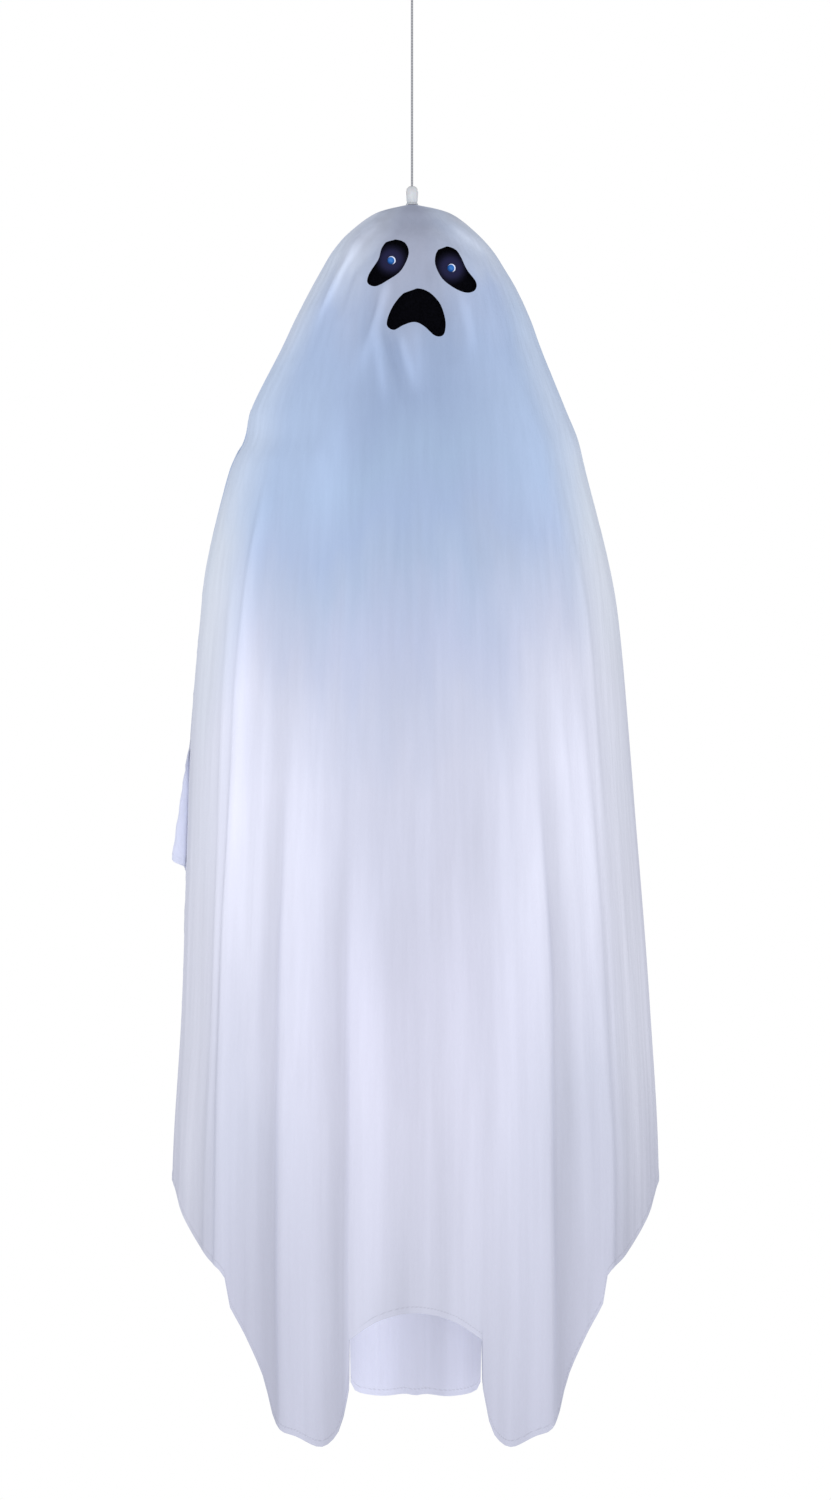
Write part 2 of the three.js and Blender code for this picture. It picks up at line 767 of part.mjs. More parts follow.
const upright = (diameter, x, y, low, high, sides = SMALL_SIDES) =>
  rod(diameter, [x, y, low], [x, y, high], sides);

// Places of the cover's screws, clear of the gears, on the front side of the housing
const coverScrews = [-150, -30].map((degrees) => {
  const angle = THREE.MathUtils.degToRad(degrees);
  const radius = HOUSING_RADIUS + OVERRUN - screwBoss / 2;
  return [radius * Math.cos(angle), radius * Math.sin(angle)];
});

function addHangingLine(group) {
  const ring = new THREE.TorusGeometry((RING_BORE + RING_WIRE) / 2, RING_WIRE / 2, THIN_SIDES - 2, 24)
    .rotateY(Math.PI / 2)
    .translate(0, 0, -RING_BORE / 2);
  piece(group, "hanging_ring", ring, FINISH.steel);

  const legGap = CORD + 2 * TOUCH;
  const legEnd = sleeveTop - SLEEVE_LENGTH / 2;
  const arc = [-90, -45, 0, 45, 90].map((degrees) => {
    const t = THREE.MathUtils.degToRad(degrees);
    return [LOOP_RADIUS * Math.sin(t), 0, loopMiddle + LOOP_RADIUS * Math.cos(t)];
  });
  const loop = smoothPath([
    [0, 0, legEnd],
    [0, 0, sleeveTop],
    [-LOOP_RADIUS * 0.6, 0, loopMiddle - LOOP_DROP * 0.55],
    ...arc,
    [LOOP_RADIUS, 0, loopMiddle - LOOP_DROP / 2],
    [legGap, 0, sleeveTop],
    [legGap, 0, legEnd],
  ]);
  piece(group, "cord_loop", swept(loop, roundSection(CORD, THIN_SIDES), LOOP_STEPS), FINISH.cord);

  const socketFloor = ferruleTop - CORD_SOCKET;
  const cordPath = new THREE.LineCurve3(
    new THREE.Vector3(0, 0, socketFloor + TOUCH),
    new THREE.Vector3(0, 0, legEnd - TOUCH),
  );
  piece(group, "hanging_cord", swept(cordPath, roundSection(CORD, THIN_SIDES), 1), FINISH.cord);

  const bore = CORD + 2 * TOUCH;
  const sleeveSection = (clear) => {
    const radius = bore / 2 + clear;
    const shape = new THREE.Shape();
    shape.absarc(0, 0, radius, Math.PI / 2, (3 * Math.PI) / 2);
    shape.absarc(legGap, 0, radius, -Math.PI / 2, Math.PI / 2);
    return shape;
  };
  const sleeve = cut(
    prism(sleeveSection(SLEEVE_WALL), sleeveBottom, sleeveTop),
    prism(sleeveSection(0), sleeveBottom - OVERRUN, sleeveTop + OVERRUN),
  );
  piece(group, "crimp_sleeve", sleeve, FINISH.steel);

  const radius = FERRULE / 2;
  const socket = SPINDLE / 2 + TOUCH;
  const dome = [0, 35, 70].map((degrees) => {
    const t = THREE.MathUtils.degToRad(degrees);
    const reach = bore + (radius - bore) * Math.cos(t);
    return [reach, ferruleTop - FERRULE_DOME * (1 - Math.sin(t))];
  });
  const body = turned([
    [0, ferruleBottom + SPINDLE_SOCKET],
    [socket, ferruleBottom + SPINDLE_SOCKET],
    [socket, ferruleBottom],
    [radius - FERRULE_TAPER, ferruleBottom],
    [radius, ferruleBottom + SPINDLE_SOCKET],
    ...dome,
    [bore / 2, ferruleTop],
    [bore / 2, socketFloor],
    [0, socketFloor],
  ]);
  const pinHeight = ferruleBottom + SPINDLE_SOCKET / 2;
  const pinHole = rod(CROSS_PIN + 2 * TOUCH, [-FERRULE, 0, pinHeight], [FERRULE, 0, pinHeight]);
  piece(group, "crown_ferrule", cut(body, pinHole), FINISH.paleAbs);
  const pinReach = radius - FERRULE_TAPER;
  const crossPin = rod(CROSS_PIN, [-pinReach, 0, pinHeight], [pinReach, 0, pinHeight]);
  piece(group, "ferrule_pin", crossPin, FINISH.steel);

  const spindleTop = ferruleBottom + SPINDLE_SOCKET - TOUCH;
  const spindleEnd = crown + coverBottom - SPINDLE_TAIL;
  const grooveTop = crown + clipTop + TOUCH / 2;
  const grooveBottom = grooveTop - CLIP_THICKNESS - TOUCH;
  const spindle = turned(
    [
      [0, spindleTop],
      [SPINDLE / 2, spindleTop],
      [SPINDLE / 2, crown + collarTop],
      [COLLAR / 2, crown + collarTop],
      [COLLAR / 2, crown + collarTop - COLLAR_THICKNESS],
      [SPINDLE / 2, crown + collarTop - COLLAR_THICKNESS],
      [SPINDLE / 2, grooveTop],
      [SPINDLE / 2 - CLIP_GROOVE, grooveTop],
      [SPINDLE / 2 - CLIP_GROOVE, grooveBottom],
      [SPINDLE / 2, grooveBottom],
      [SPINDLE / 2, spindleEnd],
      [0, spindleEnd],
    ],
    SMALL_SIDES,
  );
  piece(group, "hanging_spindle", cut(spindle, pinHole), FINISH.steel);
}

function addDrive(group) {
  const onSpindle = SPINDLE / 2 + TOUCH;
  const turning = SPINDLE / 2 + RUNNING;
  const thrustWasher = washer(turning, WASHER / 2, washerTop - WASHER_THICKNESS, washerTop);
  piece(group, "thrust_washer", thrustWasher, FINISH.acetal);
  const gear = cut(
    join(
      prism(toothedWheel(GEAR_TEETH, 0), gearBottom, gearTop),
      upright(GEAR_HUB, 0, 0, gearTop - OVERRUN, gearHubTop),
    ),
    upright(2 * onSpindle, 0, 0, gearBottom - OVERRUN, gearHubTop + OVERRUN),
  );
  piece(group, "drive_gear", gear, FINISH.acetal);
  const clipInner = SPINDLE / 2 - CLIP_GROOVE + TOUCH;
  piece(group, "spindle_clip", washer(clipInner, CLIP / 2, clipTop - CLIP_THICKNESS, clipTop), FINISH.steel);

  const pinionHubBottom = gearBottom - PINION_HUB_LENGTH;
  const shaftTop = gearTop;
  const pinion = cut(
    join(
      prism(toothedWheel(PINION_TEETH, 0.5), gearBottom, gearTop),
      upright(PINION_HUB, 0, 0, pinionHubBottom, gearBottom + OVERRUN),
    ),
    upright(MOTOR_SHAFT + 2 * TOUCH, 0, 0, pinionHubBottom - OVERRUN, gearTop + OVERRUN),
  ).translate(0, motorY, 0);
  piece(group, "drive_pinion", pinion, FINISH.acetal);
  const shaftEnd = motorTop - MOTOR_SHAFT_SEAT + TOUCH;
  piece(group, "motor_shaft", upright(MOTOR_SHAFT, 0, motorY, shaftEnd, shaftTop), FINISH.steel);

  const bushTop = TOUCH + BUSH_FLANGE_THICKNESS;
  const bush = turned([
    [turning, bushTop],
    [turning, bushTop - BUSH_LENGTH],
    [turning + BUSH_WALL, bushTop - BUSH_LENGTH],
    [turning + BUSH_WALL, TOUCH],
    [BUSH_FLANGE / 2, TOUCH],
    [BUSH_FLANGE / 2, bushTop],
    [turning, bushTop],
  ]);
  piece(group, "crown_bush", bush, FINISH.paleAbs);

  const skirt = HOUSING_RADIUS + HOUSING_WALL;
  const cup = turned([
    [turning, housingTop + BEARING_BOSS],
    [turning, housingCeiling],
    [HOUSING_RADIUS, housingCeiling],
    [HOUSING_RADIUS, housingCeiling - HOUSING_DEPTH],
    [skirt, housingCeiling - HOUSING_DEPTH],
    [skirt, housingCeiling],
    [skirt + HOUSING_FLANGE, housingCeiling],
    [skirt + HOUSING_FLANGE, housingTop],
    [turning + HOUSING_WALL, housingTop],
    [turning + HOUSING_WALL, housingTop + BEARING_BOSS],
    [turning, housingTop + BEARING_BOSS],
  ]);
  const bosses = coverScrews.map(([x, y]) =>
    upright(screwBoss, x, y, housingCeiling - HOUSING_DEPTH, housingCeiling + OVERRUN),
  );
  const pilots = coverScrews.map(([x, y]) =>
    upright(SCREW + 2 * TOUCH, x, y, housingCeiling - HOUSING_DEPTH - OVERRUN, coverTop + SCREW_BITE),
  );
  piece(group, "drive_housing", cut(join(cup, ...bosses), ...pilots), FINISH.blackAbs);

  const cover = cut(
    upright(2 * skirt, 0, 0, coverBottom, coverTop, SIDES),
    upright(2 * turning, 0, 0, coverBottom - OVERRUN, coverTop + OVERRUN),
    upright(MOTOR_SPIGOT + 2 * TOUCH, 0, motorY, coverBottom - OVERRUN, coverTop + OVERRUN),
    ...coverScrews.map(([x, y]) =>
      upright(SCREW + 2 * TOUCH, x, y, coverBottom - OVERRUN, coverTop + OVERRUN),
    ),
  );
  piece(group, "drive_cover", cover, FINISH.blackAbs);
  coverScrews.forEach(([x, y], i) => {
    const at = [x, y, coverBottom - TOUCH];
    const made = screw(at, [0, 0, 1], SCREW, SCREW_HEAD, SCREW_HEAD_HEIGHT, SCREW_BITE);
    piece(group, "cover_screw_" + (i + 1), made, FINISH.steel);
  });

  const gearboxEnd = motorTop - GEARBOX_LENGTH;
  const motor = cut(
    join(
      upright(GEARBOX, 0, motorY, gearboxEnd, motorTop, SIDES),
      upright(MOTOR_SPIGOT, 0, motorY, motorTop - OVERRUN, coverTop),
      upright(MOTOR_CAN, 0, motorY, gearboxEnd - MOTOR_CAN_LENGTH, gearboxEnd + OVERRUN, SIDES),
    ),
    upright(MOTOR_SHAFT + 2 * RUNNING, 0, motorY, motorTop - MOTOR_SHAFT_SEAT, coverTop + OVERRUN),
  );
  piece(group, "gear_motor", motor, FINISH.steel);
}

function addHead(group) {
  const outer = headForm(headInset);
  const inner = headForm(headInset + HEAD_WALL);
  const core = headForm(headInset + HEAD_WALL / 2);
  const surface = inset(headInset);
  const wide = FORM.at(-1)[1] * 2;

  const ledge = cut(
    overlap(upright(wide, 0, 0, -LEDGE_BOTTOM, -LEDGE_TOP, 8), core),
    upright(2 * LEDGE_RADIUS, 0, 0, -LEDGE_BOTTOM - OVERRUN, -LEDGE_TOP + OVERRUN, SIDES),
  );
  const flangeRadius = HOUSING_RADIUS + HOUSING_WALL + HOUSING_FLANGE + TOUCH;
  const groove = upright(2 * flangeRadius, 0, 0, housingCeiling - TOUCH, housingTop + TOUCH, SIDES);
  const neck = upright(2 * neckRadius, 0, 0, -NECK_BOTTOM, -NECK_TOP, SIDES);

  const holderFronts = EYE_LIGHTS.map(([, x, drop]) => frontOf(surface, x, drop) + HOLDER_BEHIND);
  const eyeBosses = EYE_LIGHTS.map(([, x, drop], i) => {
    const end = holderFronts[i] + HOLDER_LENGTH - HOLDER_PROUD;
    return overlap(rod(HOLDER + 2 * (TOUCH + BOSS_WALL), [x, -wide, -drop], [x, end, -drop]), core);
  });
  const eyeBores = EYE_LIGHTS.map(([, x, drop]) =>
    rod(HOLDER + 2 * TOUCH, [x, -wide, -drop], [x, -HOUSING_RADIUS, -drop]),
  );

  const speakerFront = frontOf(surface, SPEAKER_X, SPEAKER_DROP) + SPEAKER_BEHIND;
  const speakerLine = (diameter, from, to) =>
    rod(diameter, [SPEAKER_X, from, -SPEAKER_DROP], [SPEAKER_X, to, -SPEAKER_DROP], SIDES);
  const speakerBack = speakerFront + SPEAKER_LENGTH;
  const speakerBoss = overlap(speakerLine(SPEAKER + 2 * (TOUCH + BOSS_WALL), -wide, speakerBack), core);
  const speakerBore = speakerLine(SPEAKER + 2 * TOUCH, speakerFront - TOUCH, speakerBack + OVERRUN);
  const soundHole = speakerLine(SPEAKER_HOLE, -wide, speakerFront);

  const screwLine = (hand, diameter, from, to) => {
    const x = hand * HEAD_SCREW_X;
    return rod(diameter, [x, from, -HEAD_SCREW_DROP], [x, to, -HEAD_SCREW_DROP]);
  };
  const screwBosses = [-1, 1].map((hand) =>
    overlap(screwLine(hand, SCREW_HEAD + 2 * (RUNNING + BOSS_WALL), -wide, wide), core),
  );
  const screwCuts = [-1, 1].flatMap((hand) => [
    screwLine(hand, SCREW_HEAD + 2 * RUNNING, HEAD_SCREW_SEAT, wide),
    screwLine(hand, SCREW + 2 * TOUCH, -SCREW_BITE - TOUCH, HEAD_SCREW_SEAT + OVERRUN),
  ]);

  const boltHole = rod(NECK_BOLT + 2 * TOUCH, [0, -wide, -NECK_BOLT_DROP], [0, wide, -NECK_BOLT_DROP]);
  const shell = cut(
    join(cut(outer, inner), ledge, neck, ...eyeBosses, speakerBoss, ...screwBosses),
    groove,
    upright(2 * crownHole, 0, 0, -LEDGE_TOP, OVERRUN),
    upright(POST + 2 * TOUCH, 0, 0, -NECK_BOTTOM - OVERRUN, -NECK_TOP + OVERRUN, SIDES),
    boltHole,
    ...eyeBores,
    speakerBore,
    soundHole,
    ...screwCuts,
  );
  const behind = block([-wide, -TOUCH / 2, -wide], [wide, wide, wide]);
  const before = block([-wide, -wide, -wide], [wide, TOUCH / 2, wide]);
  piece(group, "head_front_shell", cut(shell, behind), FINISH.headAbs);
  piece(group, "head_back_shell", cut(shell, before), FINISH.headAbs);

  [-1, 1].forEach((hand) => {
    const at = [hand * HEAD_SCREW_X, HEAD_SCREW_SEAT + TOUCH, -HEAD_SCREW_DROP];
    const length = HEAD_SCREW_SEAT + SCREW_BITE;
    const made = screw(at, [0, -1, 0], SCREW, SCREW_HEAD, SCREW_HEAD_HEIGHT, length);
    piece(group, hand < 0 ? "head_screw_right" : "head_screw_left", made, FINISH.steel);
  });

  EYE_LIGHTS.forEach(([side, x, drop], i) => {
    const front = holderFronts[i];
    const back = front + HOLDER_LENGTH;
    const floor = back - HOLDER_BACK_WALL;
    const line = (diameter, from, to) => rod(diameter, [x, from, -drop], [x, to, -drop]);
    const holder = cut(
      line(HOLDER, front, back),
      line(EYE_LIGHT + 2 * TOUCH, front - OVERRUN, floor),
      line(EYE_LIGHT / 2, front, back + OVERRUN),
    );
    piece(group, "eye_holder_" + side, holder, FINISH.blackAbs);
    const tip = frontOf(inset(0), x, drop) + TOUCH;
    const domeStart = tip + EYE_LIGHT / 2;
    const dome = [0, 30, 60, 90].map((degrees) => {
      const t = THREE.MathUtils.degToRad(degrees);
      return [(EYE_LIGHT / 2) * Math.sin(t), domeStart - (EYE_LIGHT / 2) * Math.cos(t)];
    });
    const light = turned([...dome, [EYE_LIGHT / 2, floor - TOUCH], [0, floor - TOUCH]])
      .rotateX(-Math.PI / 2)
      .scale(1, 1, -1)
      .translate(x, 0, -drop);
    piece(group, "eye_light_" + side, light, FINISH.blueLed);
  });

  const speaker = join(
    speakerLine(SPEAKER, speakerFront, speakerBack),
    speakerLine(SPEAKER_MAGNET, speakerFront, speakerBack + SPEAKER_MAGNET_LENGTH),
  );
  piece(group, "speaker", speaker, FINISH.blackAbs);

  const boltReach = neckRadius + TOUCH;
  const boltSeat = [0, boltReach, -NECK_BOLT_DROP];
  const bolt = screw(boltSeat, [0, -1, 0], NECK_BOLT, NECK_BOLT_HEAD, NECK_BOLT_HEAD_HEIGHT, 2 * boltReach);
  piece(group, "neck_bolt", bolt, FINISH.steel);
}

// The hoop's centre line: it touches the inside of the cloth's flat columns
function hoopPoint(angle) {
  const form = inset(CLOTH + 2 * TOUCH + HOOP / 2);
  const before = formPoint(form, HOOP_DROP, angle - COLUMN / 2);
  return before.lerp(formPoint(form, HOOP_DROP, angle + COLUMN / 2), 0.5).setZ(-HOOP_DROP);
}

function addFrame(group) {
  const onPost = POST / 2 + TOUCH;
  const postBottom = -boxDrop + TOUCH;
  const boltHole = rod(NECK_BOLT + 2 * TOUCH, [0, -POST, -NECK_BOLT_DROP], [0, POST, -NECK_BOLT_DROP]);
  const post = cut(washer(POST_BORE / 2, POST / 2, postBottom, -POST_TOP), boltHole);
  piece(group, "neck_post", post, FINISH.greyAbs);

  const side = POST_BORE / 2 - CABLE / 2 - TOUCH;
  const cable = rod(CABLE, [side, 0, postBottom - CABLE], [side, 0, -CABLE_TOP], THIN_SIDES);
  piece(group, "post_cable", cable, FINISH.cable);

  const hubLow = -HUB_DROP - HUB_HEIGHT / 2;
  const sockets = [0, 90, 180, 270].map((degrees) => {
    const t = THREE.MathUtils.degToRad(degrees);
    const toward = (radius) => [radius * Math.sin(t), -radius * Math.cos(t), -HUB_DROP];
    return rod(ARM + 2 * TOUCH, toward(HUB / 2 - ARM_SEAT), toward(HUB / 2 + ARM));
  });
  const hub = cut(washer(onPost, HUB / 2, hubLow, hubLow + HUB_HEIGHT), ...sockets);
  piece(group, "arm_hub", hub, FINISH.blackAbs);

  const hoopAngles = columns(0, 360).filter((_, i) => i % 2 === 1);
  const hoopCentres = hoopAngles.map(hoopPoint);
  const hoopRings = hoopCentres.map((centre, i) => {
    const next = hoopCentres[(i + 1) % hoopCentres.length];
    const previous = hoopCentres.at(i - 1);
    const outwards = new THREE.Vector3(next.y - previous.y, previous.x - next.x, 0).normalize();
    return Array.from({ length: HOOP_SIDES }, (_, k) => {
      const t = (2 * Math.PI * (k + 0.5)) / HOOP_SIDES;
      const offset = outwards.clone().multiplyScalar((HOOP / 2) * Math.cos(t));
      return centre.clone().add(offset).setZ(centre.z + (HOOP / 2) * Math.sin(t));
    });
  });
  piece(group, "shoulder_hoop", skinned(hoopRings, true), FINISH.steel);

  [["front", 0], ["left", 90], ["back", 180], ["right", 270]].forEach(([name, angle]) => {
    const out = hoopPoint(angle - COLUMN).lerp(hoopPoint(angle + COLUMN), 0.5);
    const reach = Math.hypot(out.x, out.y);
    const facing = out.clone().setZ(0).normalize();
    const toward = (radius, drop) => [facing.x * radius, facing.y * radius, -drop];
    const path = smoothPath([
      toward(HUB / 2 - ARM_SEAT + TOUCH, HUB_DROP),
      toward(HUB / 2 + ARM_STRAIGHT, HUB_DROP),
      toward(reach * ARM_BEND[0], HUB_DROP + (HOOP_DROP - HUB_DROP) * ARM_BEND[1]),
      toward(reach - HOOP_CLIP / 2 + OVERRUN, HOOP_DROP),
    ]);
    const along = (amount) => [
      out.x + Math.abs(facing.y) * amount,
      out.y + Math.abs(facing.x) * amount,
      -HOOP_DROP,
    ];
    const half = HOOP_CLIP / 2;
    const middle = [out.x - Math.round(facing.x) * half, out.y - Math.round(facing.y) * half, -HOOP_DROP];
    const clip = block(middle.map((value) => value - half), middle.map((value) => value + half));
    const clearance = rod(HOOP + 2 * TOUCH, along(-HOOP_CLIP), along(HOOP_CLIP));
    const arm = cut(join(swept(path, roundSection(ARM, THIN_SIDES), ARM_STEPS), clip), clearance);
    piece(group, "drape_arm_" + name, arm, FINISH.greyAbs);
  });
}

function addChestLight(group) {
  const onPost = POST / 2 + TOUCH;
  const collar = onPost + LIGHT_COLLAR_WALL;
  const capTop = -LIGHT_COLLAR_HEIGHT;
  const capBottom = capTop - LIGHT_CAP;
  const cap = turned([
    [onPost, 0],
    [onPost, capBottom],
    [LIGHT / 2, capBottom],
    [LIGHT / 2, capTop],
    [collar, capTop],
    [collar, 0],
    [onPost, 0],
  ]);
  piece(group, "light_cap", cap, FINISH.blackAbs);

  const boardTop = capBottom - TOUCH;
  const boardOuter = LIGHT / 2 - DIFFUSER_WALL - 2 * TOUCH;
  const ringOfChips = Array.from({ length: LIGHT_CHIPS }, (_, i) => {
    const t = (2 * Math.PI * i) / LIGHT_CHIPS;
    const radius = (collar + boardOuter) / 2;
    return new THREE.BoxGeometry(LIGHT_CHIP, LIGHT_CHIP, 2 * LIGHT_CHIP_HEIGHT)
      .rotateZ(t)
      .translate(radius * Math.cos(t), radius * Math.sin(t), boardTop - LIGHT_BOARD);
  });
  const lightBoard = join(washer(collar, boardOuter, boardTop - LIGHT_BOARD, boardTop), ...ringOfChips);
  piece(group, "light_board", lightBoard, FINISH.laminate);

  const bottom = -lightBottom;
  const diffuser = turned([
    [LIGHT / 2 - DIFFUSER_WALL, boardTop],
    [LIGHT / 2 - DIFFUSER_WALL, bottom + DIFFUSER_WALL],
    [onPost, bottom + DIFFUSER_WALL],
    [onPost, bottom],
    [LIGHT / 2, bottom],
    [LIGHT / 2, boardTop],
    [LIGHT / 2 - DIFFUSER_WALL, boardTop],
  ]);
  piece(group, "light_diffuser", diffuser, FINISH.frosted);
  const ringTop = bottom - TOUCH;
  const lightCollar = washer(onPost, collar, ringTop - LIGHT_CATCH, ringTop);
  piece(group, "light_collar", lightCollar, FINISH.blackAbs);
}

function addControlBox(group) {
  const halfWidth = BOX_WIDTH / 2;
  const halfDepth = BOX_DEPTH / 2;
  const inWidth = halfWidth - BOX_WALL;
  const inDepth = halfDepth - BOX_WALL;
  const floorTop = -BOX_HEIGHT + BOX_FLOOR;
  const shelfTop = floorTop + BAY_BELOW;
  const cellBottom = shelfTop + 2 * TOUCH + CONTACT;
  const cellTop = cellBottom + CELL_LENGTH;
  const ceiling = cellTop + 2 * TOUCH + CONTACT;
  const cellY = inDepth - CELL_BACK_GAP - CELL / 2;
  const bayFront = cellY - CELL / 2 - TOUCH;
  const bayHalf = (CELL_PITCH * (CELLS - 1) + CELL) / 2 + TOUCH;
  const boardTop = floorTop + BOARD_STANDOFF + BOARD;
  const under = boardTop - BOARD;
  const boardHalf = inWidth - 2 * BOARD_CLEAR;
  const boardFront = -inDepth + BOARD_CLEAR;
  const boardBack = bayFront - BAY_WALL - BOARD_CLEAR;
  const hingeY = halfDepth + DOOR_BARREL / 2 + 2 * RUNNING;
  const hingeZ = shelfTop - DOOR_LAP - DOOR_BARREL / 2;
  const lugInner = bayHalf - LUG;
  const screwX = inWidth + OVERRUN - screwBoss / 2;
  const knobLow = KNOB_X - KNOB_TRAVEL / 2;
  const knobHigh = KNOB_X + KNOB_TRAVEL / 2;
  const doorTop = ceiling + DOOR_LAP + SCREW_HEAD;
  const doorScrewZ = doorTop - SCREW_HEAD / 2 - RUNNING;
  const hands = [-1, 1];
  const edgesOn = (hand, inner, outer) => [hand * inner, hand * outer].sort((a, b) => a - b);

  // Box with its battery bay, board ribs, door lugs and sensor boss
  const walls = cut(
    block([-halfWidth, -halfDepth, -BOX_HEIGHT], [halfWidth, halfDepth, 0]),
    block([-inWidth, -inDepth, floorTop], [inWidth, inDepth, OVERRUN]),
  );
  const bay = cut(
    block(
      [-bayHalf - BAY_WALL, bayFront - BAY_WALL, shelfTop - BAY_SHELF],
      [bayHalf + BAY_WALL, inDepth + BOX_WALL / 2, ceiling + BAY_SHELF],
    ),
    block([-bayHalf, bayFront, shelfTop], [bayHalf, halfDepth, ceiling]),
  );
  const doorway = block([-bayHalf, bayFront, shelfTop], [bayHalf, halfDepth + OVERRUN, ceiling]);
  const ribs = hands.map((hand) => {
    const [low, high] = edgesOn(hand, boardHalf - RIB, inWidth + OVERRUN);
    return block([low, boardFront, floorTop - OVERRUN], [high, boardBack, under - TOUCH]);
  });
  const lugs = hands.map((hand) => {
    const [low, high] = edgesOn(hand, lugInner, lugInner + LUG);
    return join(
      rod(DOOR_BARREL, [low, hingeY, hingeZ], [high, hingeY, hingeZ]),
      block([low, inDepth + OVERRUN, hingeZ - DOOR_BARREL / 2], [high, hingeY, hingeZ]),
    );
  });
  const sensorLine = (diameter, from, to) =>
    rod(diameter, [0, from - halfDepth, -SENSOR_DROP], [0, to - halfDepth, -SENSOR_DROP]);
  const sensorBoss = sensorLine(SENSOR + 2 * (TOUCH + BOSS_WALL), 0, SENSOR_LENGTH + OVERRUN);
  const screwBosses = hands.map((hand) => upright(screwBoss, hand * screwX, 0, -SCREW_BITE - BOSS_WALL, 0));
  const reach = KNOB_STEM / 2 + RUNNING;
  const slot = block(
    [knobLow - reach, CONTROL_Y - reach, -BOX_HEIGHT - OVERRUN],
    [knobHigh + reach, CONTROL_Y + reach, floorTop + OVERRUN],
  );
  const doorScrewHole = (diameter, from, to) => rod(diameter, [0, from, doorScrewZ], [0, to, doorScrewZ]);
  const box = cut(
    join(walls, bay, ...ribs, ...lugs, sensorBoss, ...screwBosses),
    doorway,
    rod(DOOR_PIN + 2 * RUNNING, [-halfWidth, hingeY, hingeZ], [halfWidth, hingeY, hingeZ]),
    sensorLine(SENSOR + 2 * TOUCH, -1, SENSOR_LENGTH),
    sensorLine(SENSOR / 3, 0, SENSOR_LENGTH + 2),
    ...hands.map((hand) => upright(SCREW + 2 * TOUCH, hand * screwX, 0, -SCREW_BITE - TOUCH, OVERRUN)),
    slot,
    upright(BUTTON + 2 * RUNNING, BUTTON_X, CONTROL_Y, -BOX_HEIGHT - OVERRUN, floorTop + OVERRUN),
    doorScrewHole(SCREW + 2 * TOUCH, bayFront, halfDepth + OVERRUN),
  );
  piece(group, "control_box", box, FINISH.greyAbs);

  const onPost = POST / 2 + TOUCH;
  const lid = cut(
    join(
      block([-halfWidth, -halfDepth, TOUCH], [halfWidth, halfDepth, TOUCH + LID]),
      upright(2 * (onPost + LIGHT_COLLAR_WALL), 0, 0, TOUCH + LID / 2, LID_COLLAR, SIDES),
    ),
    upright(2 * onPost, 0, 0, -OVERRUN, LID_COLLAR + OVERRUN, SIDES),
    ...hands.map((hand) => upright(SCREW + 2 * TOUCH, hand * screwX, 0, -OVERRUN, LID + OVERRUN)),
  );
  piece(group, "control_lid", lid, FINISH.greyAbs);
  hands.forEach((hand) => {
    const at = [hand * screwX, 0, LID + 2 * TOUCH];
    const made = screw(at, [0, 0, -1], SCREW, SCREW_HEAD, SCREW_HEAD_HEIGHT, SCREW_BITE);
    piece(group, hand < 0 ? "lid_screw_right" : "lid_screw_left", made, FINISH.steel);
  });

  // Board on its ribs, with the slide switch and the push switch on its underside
  const stemTop = floorTop + SWITCH_STEM_TOP;
  const rimTop = floorTop + TOUCH + BUTTON_RIM;
  const fitted = (x, [wide, deep], low) => {
    const high = boardTop - BOARD / 2;
    return block([x - wide / 2, CONTROL_Y - deep / 2, low], [x + wide / 2, CONTROL_Y + deep / 2, high]);
  };
  const [headerWide, headerDeep, headerHigh] = HEADER;
  const half = headerWide / 2;
  const headerBack = boardBack - 2 * BOARD_CLEAR;
  const board = join(
    block([-boardHalf, boardFront, under], [boardHalf, boardBack, boardTop]),
    fitted(KNOB_X, SWITCH, stemTop + TOUCH),
    fitted(BUTTON_X, [SWITCH[1], SWITCH[1]], rimTop + BUTTON_TRAVEL + TOUCH),
    block([-half, headerBack - headerDeep, under], [half, headerBack, boardTop + headerHigh]),
  );
  piece(group, "circuit_board", board, FINISH.laminate);
  piece(group, "sound_sensor", sensorLine(SENSOR, 0, SENSOR_LENGTH - TOUCH), FINISH.nickel);

  const knobTop = -BOX_HEIGHT - TOUCH;
  const knobBlock = (size, low, high) =>
    block([knobLow - size / 2, CONTROL_Y - size / 2, low], [knobLow + size / 2, CONTROL_Y + size / 2, high]);
  const knob = join(
    knobBlock(KNOB_STEM, knobTop - OVERRUN, stemTop),
    knobBlock(KNOB, knobTop - KNOB_HEIGHT, knobTop),
  );
  piece(group, "mode_switch_knob", knob, FINISH.blackAbs);
  const button = join(
    upright(BUTTON, BUTTON_X, CONTROL_Y, -BOX_HEIGHT - BUTTON_PROUD, rimTop - BUTTON_RIM / 2),
    upright(BUTTON + 2 * BUTTON_RIM, BUTTON_X, CONTROL_Y, floorTop + TOUCH, rimTop),
  );
  piece(group, "try_me_button", button, FINISH.blackAbs);

  // Cells and contacts
  for (let i = 0; i < CELLS; i++) {
    const x = (i - (CELLS - 1) / 2) * CELL_PITCH;
    const cell = join(
      upright(CELL, x, cellY, cellBottom, cellTop - CELL_TIP[1]),
      upright(CELL_TIP[0], x, cellY, cellBottom + OVERRUN, cellTop),
    );
    piece(group, "battery_cell_" + (i + 1), cell, FINISH.cell);
  }
  const contactHalf = bayHalf - CONTACT_EDGE;
  const contactFront = bayFront + CONTACT_EDGE;
  const contactBack = inDepth - CONTACT_EDGE;
  const contact = (low) =>
    block([-contactHalf, contactFront, low], [contactHalf, contactBack, low + CONTACT]);
  piece(group, "contact_lower", contact(shelfTop + TOUCH), FINISH.nickel);
  piece(group, "contact_upper", contact(ceiling - TOUCH - CONTACT), FINISH.nickel);

